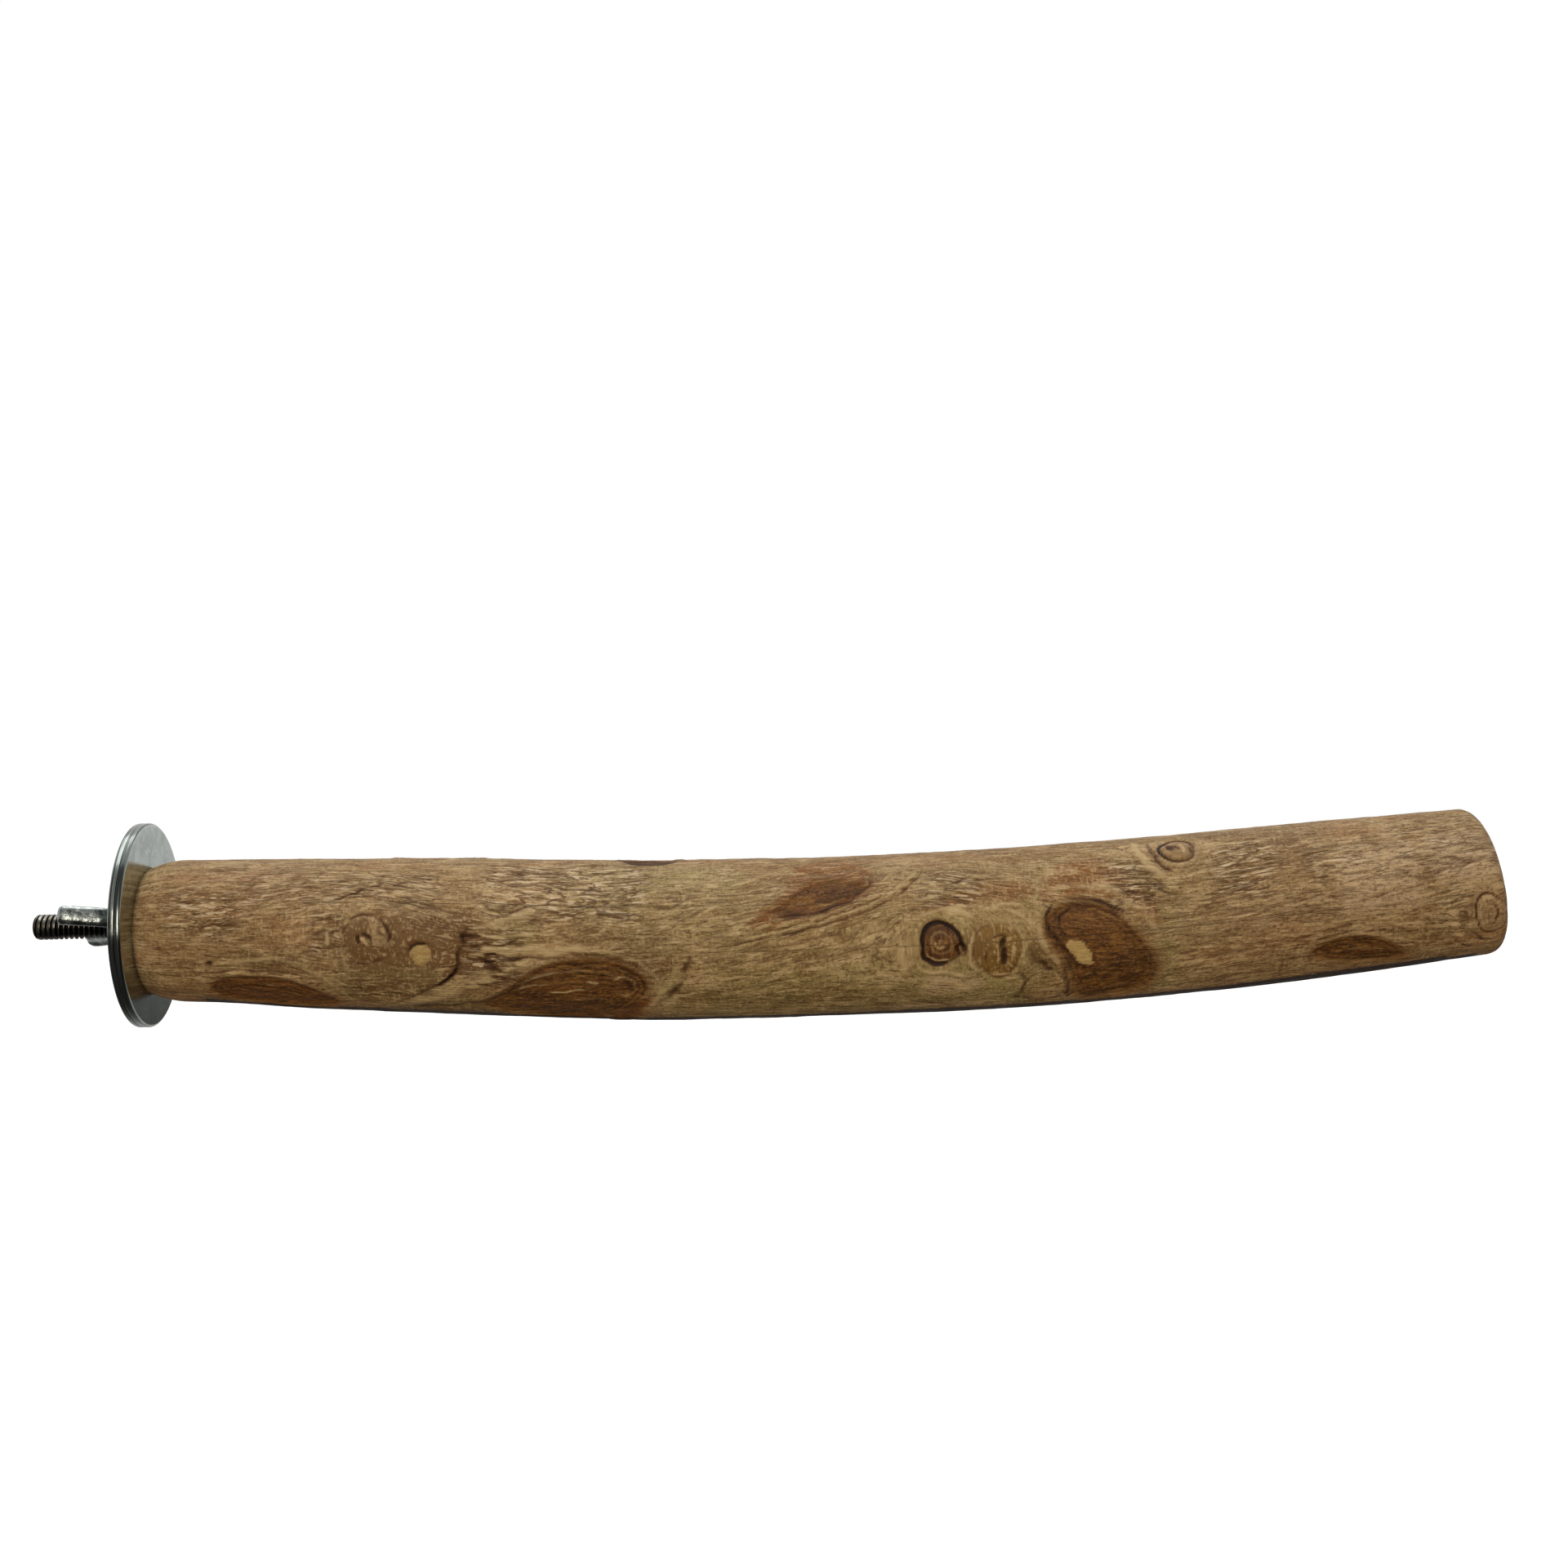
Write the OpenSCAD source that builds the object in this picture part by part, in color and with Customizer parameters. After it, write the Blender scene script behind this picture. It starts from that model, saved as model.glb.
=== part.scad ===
// Bolt-on natural wood perch for a bird cage.
// A debarked branch carries a hanger bolt in one end. Two fender washers and a wing nut on the
// bolt's free end grip the cage wires. X runs along the bolt, from the cage into the branch,
// and Z is up. X = 0 is the face of the inner washer that the cage wires bear on.

/* [Branch] */
// Length of the branch from the seat to the middle of its cut end
branch_l = 332; // [240:1:420]
// Diameter of the branch at its thickest place
branch_d = 40.2; // [36:0.1:48]
// How far the middle of the branch hangs below the line of the bolt
branch_bow = 6.9; // [0:0.1:14]
// How far the branch sways sideways
branch_sway = 3; // [-8:0.1:8]
// How much the rim of the seat end is eased, across the branch
seat_ease = 1.9; // [0.5:0.1:3]
// Length along the branch over which the seat end is eased
seat_ease_l = 9; // [4:0.5:16]
// Rounding of the rim of the cut end
cut_round = 3.4; // [1:0.1:5]
// Lean of the cut end from square
cut_lean = 9.5; // [0:0.5:20]
// Height of a full-sized knot above the wood round it
knot_h = 1.2; // [0:0.1:2]

/* [Hanger bolt] */
// Outer diameter of the machine thread
bolt_d = 6.35; // [5:0.05:8]
// Pitch of the machine thread
bolt_pitch = 1.27; // [0.8:0.01:1.5]
// How far the bolt stands out of the branch
bolt_out = 29.4; // [28:0.1:45]
// How deep the bolt sits in the branch
bolt_in = 34; // [28:0.1:60]
// Pitch of the wood thread
lag_pitch = 2.54; // [2:0.01:3]
// Length of the plain shank at the branch's face, between the two threads
shank_l = 6; // [4:0.5:10]

/* [Washers] */
// Diameter of both fender washers
washer_d = 50.8; // [44:0.1:60]
// Thickness of each washer
washer_t = 1.6; // [1.2:0.1:3]
// Gap between the bolt and the hole of a washer, on the radius
washer_play = 0.38; // [0.2:0.01:0.6]
// Rounding of a washer's stamped rim
washer_round = 0.5; // [0.1:0.05:0.55]

/* [Wing nut] */
// Diameter of the nut's base
nut_base_d = 13; // [11:0.1:16]
// Diameter of the nut's boss at its top
nut_top_d = 10.4; // [9.6:0.1:11]
// Height of the nut's boss
nut_h = 7; // [5:0.1:9]
// Distance between the tips of the two wings
wing_span = 28.4; // [24:0.1:36]
// Height of the wings above the nut's base
wing_h = 16.8; // [14:0.1:20]
// Thickness of a wing at its outer edge, where the fingers push
wing_t = 5.8; // [4:0.1:7]
// Thickness of a wing between its boss and its outer edge
wing_web_t = 3.4; // [2.4:0.1:6]
// How far the near wing points up at rest
wing_turn = 17; // [0:1:360]
// Gap between the bolt's thread crests and the nut, on the radius
nut_play = 0.08; // [0.02:0.01:0.1]

/* [Hidden] */
overrun = 1;
round_fn = 96;

// Branch: the sweep's rings and sides
sides = 48;
seat_rings = 5;
body_rings = 62;
round_rings = 4;

// Along the branch, then the drop below the bolt's line as a share of branch_bow, the sideways
// place as a share of branch_sway, and the girth as a share of branch_d
branch_shares = [
    [0.000, 0.217, 0.00, 0.880],
    [0.055, 0.290, 0.10, 0.905],
    [0.130, 0.467, 0.35, 0.951],
    [0.250, 0.722, 0.80, 0.980],
    [0.375, 0.968, 1.00, 1.004],
    [0.500, 0.961, 0.70, 0.988],
    [0.625, 0.800, 0.10, 0.995],
    [0.750, 0.435, -0.45, 0.985],
    [0.875, -0.068, -0.60, 0.958],
    [1.000, -0.638, -0.40, 0.886],
];
// Where the cut end starts to lean, as a share of branch_l
lean_from_share = 0.86;
// Out of round: share of the radius and turn at the cut end, for two lobes and for three
oval_share = 0.012;
oval_turn = 140;
trefoil_share = 0.007;
trefoil_turn = 220;
// Knots: place as a share of branch_l, angle from the front, width as a share of branch_d, and
// height as a share of knot_h, less than nothing for a hollow
knot_shares = [
    [0.187, 15, 0.13, 0.45],
    [0.222, 4, 0.17, -0.30],
    [0.345, -34, 0.26, -0.35],
    [0.376, 84, 0.11, -0.60],
    [0.515, 38, 0.20, 0.35],
    [0.590, -2, 0.13, 0.60],
    [0.630, -10, 0.17, 0.75],
    [0.705, 0, 0.28, 0.55],
    [0.752, 54, 0.14, 0.70],
    [0.870, -44, 0.22, -0.30],
    [0.958, -14, 0.14, 0.45],
    [0.120, 150, 0.17, 0.80],
    [0.300, 205, 0.20, 0.70],
    [0.480, 130, 0.16, 0.60],
    [0.660, 175, 0.24, 0.90],
    [0.840, 235, 0.16, 0.60],
];

// Bolt: both threads have a 60 degree flank, and the last turns of the free end are worn blunt
thread_flank = 60;
crest_share = 0.125;
blunt_turns = 6;
blunt_crest_share = 0.64;
bolt_depth = bolt_pitch * 0.61;
bolt_core_d = bolt_d - 2 * bolt_depth;
blunt_core_d = bolt_d - (1 - blunt_crest_share) * bolt_pitch * tan(thread_flank);
bolt_point = 1.4;
lag_d = bolt_d * 0.93;
lag_core_d = bolt_d * 0.66;
lag_point_l = bolt_d * 1.1;
lag_point_d = bolt_d * 0.16;
lag_crest_share = 0.08;
lag_play = 0.05;
seat_x = washer_t;
bolt_tip_x = seat_x - bolt_out;
bolt_root_x = seat_x + bolt_in;
shank_in = shank_l * 0.7;
shank_d = bolt_d - bolt_depth;

// Washers and nut
washer_hole_d = bolt_d + 2 * washer_play;
washer_arc_steps = 4;
nut_seat_x = -washer_t;
nut_bore_d = bolt_d + 2 * nut_play;
nut_chamfer = bolt_depth * 0.8;
nut_foot = 1.6;
wing_corner = 1.8;
wing_corner_steps = 5;
wing_foot_share = 0.14;
wing_lean_share = 0.68;
wing_inner_share = 0.62;
wing_waist_share = 0.6;
wing_bead_share = 0.36;

// Cubic through the rows of a table: column k at place t
function table_row(table, t, i = 0) =
    i >= len(table) - 2 || t <= table[i + 1][0] ? i : table_row(table, t, i + 1);
function table_slope(table, i, k) =
    let (a = max(i - 1, 0), b = min(i + 1, len(table) - 1))
    (table[b][k] - table[a][k]) / (table[b][0] - table[a][0]);
function table_at(table, t, k) =
    let (
        i = table_row(table, t),
        h = table[i + 1][0] - table[i][0],
        u = (t - table[i][0]) / h
    )
    table[i][k] * (1 + 2 * u) * (1 - u) ^ 2 + table_slope(table, i, k) * h * u * (1 - u) ^ 2
    + table[i + 1][k] * u ^ 2 * (3 - 2 * u) + table_slope(table, i + 1, k) * h * u ^ 2 * (u - 1);

function ramp(t, from) = let (u = min(max((t - from) / (1 - from), 0), 1)) u * u * (3 - 2 * u);
function turn_between(a, b) = (a - b + 540) % 360 - 180;

// How far a knot lifts the wood at place t and angle a
function knot_lift(k, t, a) =
    let (
        across = branch_d / 2 * turn_between(a, k[1]) * PI / 180,
        along = (t - k[0]) * branch_l,
        reach = k[2] * branch_d
    )
    knot_h * k[3] * exp(-(across ^ 2 + along ^ 2 / 2) / reach ^ 2 * 2);
function knots_lift(t, a, i = 0) =
    i >= len(knot_shares) ? 0 : knot_lift(knot_shares[i], t, a) + knots_lift(t, a, i + 1);

// Takes the rim in: an eased seat at the start, a rounded cut at the end
function rim_inset(x) =
    seat_ease * max(1 - x / seat_ease_l, 0) ^ 2
    + (x > branch_l - cut_round
        ? cut_round - sqrt(max(cut_round ^ 2 - (x - branch_l + cut_round) ^ 2, 0)) : 0);

// Fades the knots out at both ends, so that the seat and the cut stay flat and round
function end_fade(x) = min(x / seat_ease_l, (branch_l - x) / seat_ease_l, 1);

function branch_radius(x, a) =
    let (t = x / branch_l)
    branch_d / 2 * table_at(branch_shares, t, 3)
    * (1 + oval_share * cos(2 * a + oval_turn * t) + trefoil_share * cos(3 * a + trefoil_turn * t))
    + knots_lift(t, a) * max(end_fade(x), 0) - rim_inset(x);

// A point of the branch's skin: angle 0 is the front, 90 the top
function branch_point(x, a) =
    let (
        t = x / branch_l,
        r = branch_radius(x, a),
        up = r * sin(a)
    )
    [
        seat_x + x - up * tan(cut_lean) * ramp(t, lean_from_share),
        branch_sway * table_at(branch_shares, t, 2) - r * cos(a),
        up - branch_bow * table_at(branch_shares, t, 1),
    ];

ring_places = concat(
    [for (i = [0:seat_rings - 1]) seat_ease_l * i / seat_rings],
    [for (i = [0:body_rings])
        seat_ease_l + (branch_l - seat_ease_l - cut_round) * i / body_rings],
    [for (i = [1:round_rings]) branch_l - cut_round * (1 - sin(90 * i / round_rings))]
);

module branch_skin() {
    rings = len(ring_places);
    points = [for (x = ring_places) for (s = [0:sides - 1]) branch_point(x, 360 * s / sides)];
    walls = [
        for (i = [0:rings - 2]) for (s = [0:sides - 1])
            let (n = (s + 1) % sides, a = i * sides, b = a + sides)
            each [[a + s, b + n, b + s], [a + s, a + n, b + n]]
    ];
    seat_face = [for (s = [sides - 1:-1:0]) s];
    cut_face = [for (s = [0:sides - 1]) (rings - 1) * sides + s];
    polyhedron(points, concat(walls, [seat_face], [cut_face]));
}

// Outline of one side of a ring-shaped thread, from place x0 to x1: [radius, place] pairs
function thread_teeth(x0, x1, pitch, outer_d, core_d, crest) =
    let (
        turns = floor((x1 - x0) / pitch),
        flank = (outer_d - core_d) / 2 / tan(thread_flank),
        land = crest * pitch
    )
    [for (i = [0:turns - 1]) let (x = x0 + i * pitch)
        each [
            [core_d / 2, x],
            [outer_d / 2, x + flank],
            [outer_d / 2, x + flank + land],
            [core_d / 2, x + 2 * flank + land],
        ]];

module turned(outline) {
    rotate([0, 90, 0]) rotate_extrude($fn = round_fn) polygon(outline);
}

// The wood end's outline from place start on, grown by play for the hole that it cuts
function lag_outline(start, play) =
    let (
        thread_from = seat_x + shank_in,
        stop = bolt_root_x - lag_point_l,
        grown = 2 * play
    )
    concat(
        [[0, start], [shank_d / 2 + play, start], [shank_d / 2 + play, thread_from]],
        thread_teeth(
            thread_from, stop, lag_pitch, lag_d + grown, lag_core_d + grown, lag_crest_share),
        [
            [lag_core_d / 2 + play, stop],
            [lag_point_d / 2 + play, bolt_root_x + play],
            [0, bolt_root_x + play],
        ]
    );

module branch() {
    color("burlywood") difference() {
        branch_skin();
        turned(lag_outline(seat_x - overrun, lag_play));
    }
}

module hanger_bolt() {
    shank_from = seat_x + shank_in - shank_l;
    blunt_from = bolt_tip_x + bolt_point;
    thread_from = blunt_from + blunt_turns * bolt_pitch;
    machine_end = concat(
        [[0, bolt_tip_x], [bolt_d / 2 - bolt_point, bolt_tip_x]],
        thread_teeth(
            blunt_from, thread_from, bolt_pitch, bolt_d, blunt_core_d, blunt_crest_share),
        thread_teeth(
            thread_from, shank_from, bolt_pitch, bolt_d, bolt_core_d, crest_share),
        [[bolt_core_d / 2, shank_from]]
    );
    wood_end = lag_outline(shank_from, 0);
    color("silver")
        turned(concat(machine_end, [for (i = [1:len(wood_end) - 1]) wood_end[i]]));
}

// A stamped washer whose face towards the branch lies at x
module fender_washer(x) {
    rim = washer_d / 2 - washer_round;
    arc = [
        for (corner = [[0, washer_round], [1, washer_t - washer_round]])
            for (i = [0:washer_arc_steps])
                let (a = 90 * (i / washer_arc_steps + corner[0] - 1))
                [rim + washer_round * cos(a), corner[1] + washer_round * sin(a)]
    ];
    translate([x - washer_t, 0, 0])
        turned(concat(
            [[washer_hole_d / 2, 0]], arc, [[washer_hole_d / 2, washer_t]]
        ));
}

module inner_washer() {
    color("lightgray") fender_washer(seat_x);
}

module outer_washer() {
    color("lightgray") fender_washer(seat_x - washer_t);
}

// Points of a rounded corner between the directions a0 and a1
function corner_arc(centre, r, a0, a1) = [
    for (i = [0:wing_corner_steps])
        let (a = a0 + (a1 - a0) * i / wing_corner_steps)
        [centre[0] + r * cos(a), centre[1] + r * sin(a)]
];

// One wing as [distance from the bolt, height]: its outer edge leans out from foot to tip
module wing_outline() {
    tip = wing_span / 2;
    foot = wing_h * wing_foot_share;
    inner = nut_top_d / 2;
    polygon(concat(
        [[inner * wing_inner_share, foot], [nut_base_d / 2, foot]],
        corner_arc([tip * wing_lean_share - wing_corner, foot + 2 * wing_corner],
            wing_corner, -80, -20),
        corner_arc([tip - wing_corner, wing_h - wing_corner], wing_corner, -10, 90),
        corner_arc([inner + wing_corner, wing_h - wing_corner], wing_corner, 90, 170),
        [[inner, nut_h], [inner * wing_inner_share, nut_h]]
    ));
}

// Seen along the bolt, a wing is a web with a thick rounded bead down its outer edge
module wing_plan() {
    tip = wing_span / 2;
    bead = wing_t * wing_bead_share;
    side = [
        [0, -wing_web_t / 2],
        [tip * wing_waist_share, -wing_web_t / 2],
        each corner_arc([tip - bead, bead - wing_t / 2], bead, -110, 0),
    ];
    polygon(concat(side, [for (i = [len(side) - 1:-1:0]) [side[i][0], -side[i][1]]]));
}

module wing() {
    intersection() {
        translate([0, wing_span / 2, 0]) rotate([90, 0, 0])
            linear_extrude(wing_span) wing_outline();
        linear_extrude(wing_h) wing_plan();
    }
}

module wing_nut() {
    color("gainsboro")
        translate([nut_seat_x, 0, 0])
        rotate([-wing_turn, 0, 0]) rotate([0, -90, 0]) rotate([0, 0, -90])
        difference() {
            union() {
                cylinder(d = nut_base_d, h = nut_foot, $fn = round_fn);
                translate([0, 0, nut_foot])
                    cylinder(d1 = nut_base_d, d2 = nut_top_d, h = nut_h - nut_foot,
                        $fn = round_fn);
                for (side = [0, 180]) rotate([0, 0, side]) wing();
            }
            translate([0, 0, -overrun])
                cylinder(d = nut_bore_d, h = wing_h + 2 * overrun, $fn = round_fn);
            for (end = [0, nut_h])
                translate([0, 0, end])
                    mirror([0, 0, end > 0 ? 1 : 0])
                    translate([0, 0, -overrun])
                    cylinder(
                        d1 = nut_bore_d + 2 * (nut_chamfer + overrun),
                        d2 = nut_bore_d, h = nut_chamfer + overrun, $fn = round_fn);
        }
}

branch();
hanger_bolt();
inner_washer();
outer_washer();
wing_nut();
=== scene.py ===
"""A bolt-on bird perch: a debarked branch with a hanger bolt, two fender washers and a wing nut."""
import math

import bpy
import numpy as np
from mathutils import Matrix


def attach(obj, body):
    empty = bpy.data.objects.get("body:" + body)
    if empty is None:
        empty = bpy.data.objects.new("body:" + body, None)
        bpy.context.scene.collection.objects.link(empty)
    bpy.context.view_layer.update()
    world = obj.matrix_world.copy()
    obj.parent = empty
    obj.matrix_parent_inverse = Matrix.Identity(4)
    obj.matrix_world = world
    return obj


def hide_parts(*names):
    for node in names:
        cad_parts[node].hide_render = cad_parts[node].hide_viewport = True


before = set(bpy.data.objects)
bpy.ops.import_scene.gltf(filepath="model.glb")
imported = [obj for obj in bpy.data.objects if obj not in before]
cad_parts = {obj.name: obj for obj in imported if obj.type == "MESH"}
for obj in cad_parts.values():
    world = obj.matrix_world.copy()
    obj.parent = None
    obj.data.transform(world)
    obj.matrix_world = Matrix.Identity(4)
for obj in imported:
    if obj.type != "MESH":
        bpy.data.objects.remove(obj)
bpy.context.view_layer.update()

# ---------------------------------------------------------------------------------------------
# Camera: level with the frame's middle, square to the side of the perch that the photograph
# shows, and rolled a little, as the camera was held.
camera_data = bpy.data.cameras.new("camera")
camera_data.lens = 46.71
camera_data.sensor_width = 36
camera = bpy.data.objects.new("camera", camera_data)
camera.location = (0.15986, -0.50806, 0.03188)
camera.rotation_euler = (math.radians(90), math.radians(1.2), 0)
bpy.context.scene.collection.objects.link(camera)
bpy.context.scene.camera = camera


# ---------------------------------------------------------------------------------------------
# Branch: one length of a hardwood branch, peeled by hand and lightly sanded, so that the knots,
# the brown inner bark left in the hollows and the torn fibres still show. One end is cut square
# for the washer and drilled for the bolt; the other is sawn at a lean and rounded over.
MM = 0.001
seat_x = 1.6
branch_length = 332.0
branch_diameter = 40.2
branch_bow = 6.9
branch_sway = 3.0
seat_ease, seat_ease_length = 1.9, 9.0
cut_round, cut_lean = 3.4, math.radians(9.5)
knot_height = 1.2
bore_radius, bore_depth = 3.05, 34.3
bore_lip = 3.3
oval, oval_turn = 0.012, 140.0
trefoil, trefoil_turn = 0.007, 220.0
lean_from = 0.86
skin_radius = 20.0                      # the skin is laid out flat at this radius: w = 20 x angle
half_round = math.pi * skin_radius

# Place as a share of the length, drop as a share of the bow, sideways place as a share of the
# sway, and girth as a share of the diameter
branch_shares = np.array([
    [0.000, 0.217, 0.00, 0.880], [0.055, 0.290, 0.10, 0.905], [0.130, 0.467, 0.35, 0.951],
    [0.250, 0.722, 0.80, 0.980], [0.375, 0.968, 1.00, 1.004], [0.500, 0.961, 0.70, 0.988],
    [0.625, 0.800, 0.10, 0.995], [0.750, 0.435, -0.45, 0.985], [0.875, -0.068, -0.60, 0.958],
    [1.000, -0.638, -0.40, 0.886],
])
# Swellings under the knots: place as a share of the length, angle from the front, width as a
# share of the diameter, and height as a share of the knot height
swelling_shares = [
    (0.187, 15, 0.13, 0.45), (0.222, 4, 0.17, -0.30), (0.345, -34, 0.26, -0.35),
    (0.376, 84, 0.11, -0.60), (0.515, 38, 0.20, 0.35), (0.590, -2, 0.13, 0.60),
    (0.630, -10, 0.17, 0.75), (0.705, 0, 0.28, 0.55), (0.752, 54, 0.14, 0.70),
    (0.870, -44, 0.22, -0.30), (0.958, -14, 0.14, 0.45), (0.120, 150, 0.17, 0.80),
    (0.300, 205, 0.20, 0.70), (0.480, 130, 0.16, 0.60), (0.660, 175, 0.24, 0.90),
    (0.840, 235, 0.16, 0.60),
]
# Knots, in millimetres on the skin laid out flat: place along, place round (0 is the front, up
# is positive), radius, how much longer than high, dome height, depth of the groove round it,
# how dark the groove is, strength of its rings, and how brown and how pale its wood is (less
# than nothing for golden)
knots = [
    (57.0, 0.6, 5.6, 1.10, 0.45, 0.26, 0.45, 0.10, 0.10, 0.0),
    (69.7, -3.0, 2.75, 1.0, 0.00, 0.42, 0.30, 0.20, 0.00, 0.62),
    (195.2, -1.2, 4.85, 1.0, 0.10, 0.60, 2.10, 0.35, 0.85, 0.0),
    (200.2, -3.0, 1.5, 0.8, 0.00, 0.30, 0.80, 0.30, 0.60, 0.0),
    (208.8, -3.6, 6.4, 0.98, 0.70, 0.36, 0.75, 0.06, 0.00, -0.82),
    (253.6, 19.9, 4.1, 1.10, 0.12, 0.55, 2.30, 0.22, 0.35, 0.0),
    (327.2, -8.0, 5.6, 0.76, 0.30, 0.34, 1.30, 0.28, 0.05, 0.0),
    (39.8, 52.4, 4.2, 1.1, 0.30, 0.45, 1.10, 0.28, 0.55, 0.0),
    (99.6, -53.0, 5.4, 1.0, 0.35, 0.40, 0.90, 0.25, 0.20, 0.0),
    (159.4, 45.4, 3.6, 1.0, 0.20, 0.45, 0.60, 0.40, 0.00, 0.8),
    (219.1, 61.1, 5.8, 1.05, 0.45, 0.50, 1.20, 0.28, 0.65, 0.0),
    (278.9, -43.6, 3.9, 1.1, 0.25, 0.40, 0.90, 0.25, 0.30, 0.0),
]
# Hollows where the brown inner bark was left: outline on the skin, how red and how dark the bark
# is, how soft its upper and lower edges are in millimetres, and how clear its contour lines are
hollows = [
    ([(17, -15), (20.5, -12), (27, -10.9), (33, -10.8), (39, -12), (44.5, -15), (50, -20.5),
      (42, -23), (28, -23), (18, -20)], 0.55, 0.0, 0.5, 1.4, 0.3),
    ([(82, -19), (86, -15), (91, -10.5), (97, -5.8), (104, -3.7), (112, -3.2), (119, -4.2),
      (124, -7.5), (124.5, -11), (121, -17), (115, -23), (106, -24), (94, -23)],
     0.25, 0.40, 0.5, 2.0, 0.45),
    ([(119, -17), (124, -13), (125, -17), (120, -24), (113, -25)], 0.95, 0.0, 1.2, 1.6, 0.0),
    ([(151.6, 7.3), (156.8, 9.6), (159.6, 12.6), (162.4, 15.6), (168, 16.7), (174, 16.6),
      (177.8, 15.4), (178.2, 13.4), (175, 11.2), (169, 8.7), (161, 7.4)],
     0.40, 0.70, 1.2, 0.35, 0.2),
    ([(219.5, 1.5), (221, 5), (226, 7.2), (233, 6.2), (238, 3), (243, -3), (247.5, -9),
      (248, -14), (244, -19), (236, -21), (229, -21), (226.5, -14), (224.5, -7), (221, -3)],
     0.30, 0.40, 0.7, 2.6, 0.35),
    ([(230, -21), (231, -14), (236, -9), (243, -4), (247.5, -9), (248, -14), (244, -19),
      (236, -21)], 0.35, 0.85, 3.0, 3.0, 0.35),
    ([(283, -12.4), (289, -9.5), (296, -8.8), (302, -11), (306, -15), (309, -19), (300, -18.5),
      (290, -17)], 0.4, 0.50, 0.6, 2.0, 0.4),
    ([(117, 30), (120, 27.4), (124, 26.6), (128, 27.2), (131.5, 29.5), (130, 34), (124, 35.5),
      (118, 34)], 0.1, 0.95, 0.5, 0.5, 0.0),
    ([(28, 44), (38, 40), (50, 42), (60, 47), (66, 53), (56, 57), (42, 58), (31, 52)],
     0.4, 0.5, 0.6, 1.6, 0.35),
    ([(86, -44), (97, -40), (110, -42), (122, -48), (128, -55), (114, -60), (98, -60),
      (88, -54)], 0.2, 0.6, 0.6, 1.6, 0.35),
    ([(140, 38), (152, 35), (168, 38), (180, 45), (172, 51), (156, 52), (144, 47)],
     0.7, 0.4, 0.7, 1.4, 0.3),
    ([(200, 50), (214, 46), (230, 48), (244, 54), (236, 59), (218, 60), (204, 57)],
     0.3, 0.7, 0.6, 1.2, 0.4),
    ([(262, -36), (276, -33), (290, -37), (300, -45), (290, -53), (274, -53), (263, -46)],
     0.5, 0.4, 0.6, 1.6, 0.3),
    ([(60, 33), (70, 31), (80, 34), (86, 39), (76, 42), (65, 40)], 0.6, 0.3, 1.0, 1.4, 0.5),
]
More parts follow.
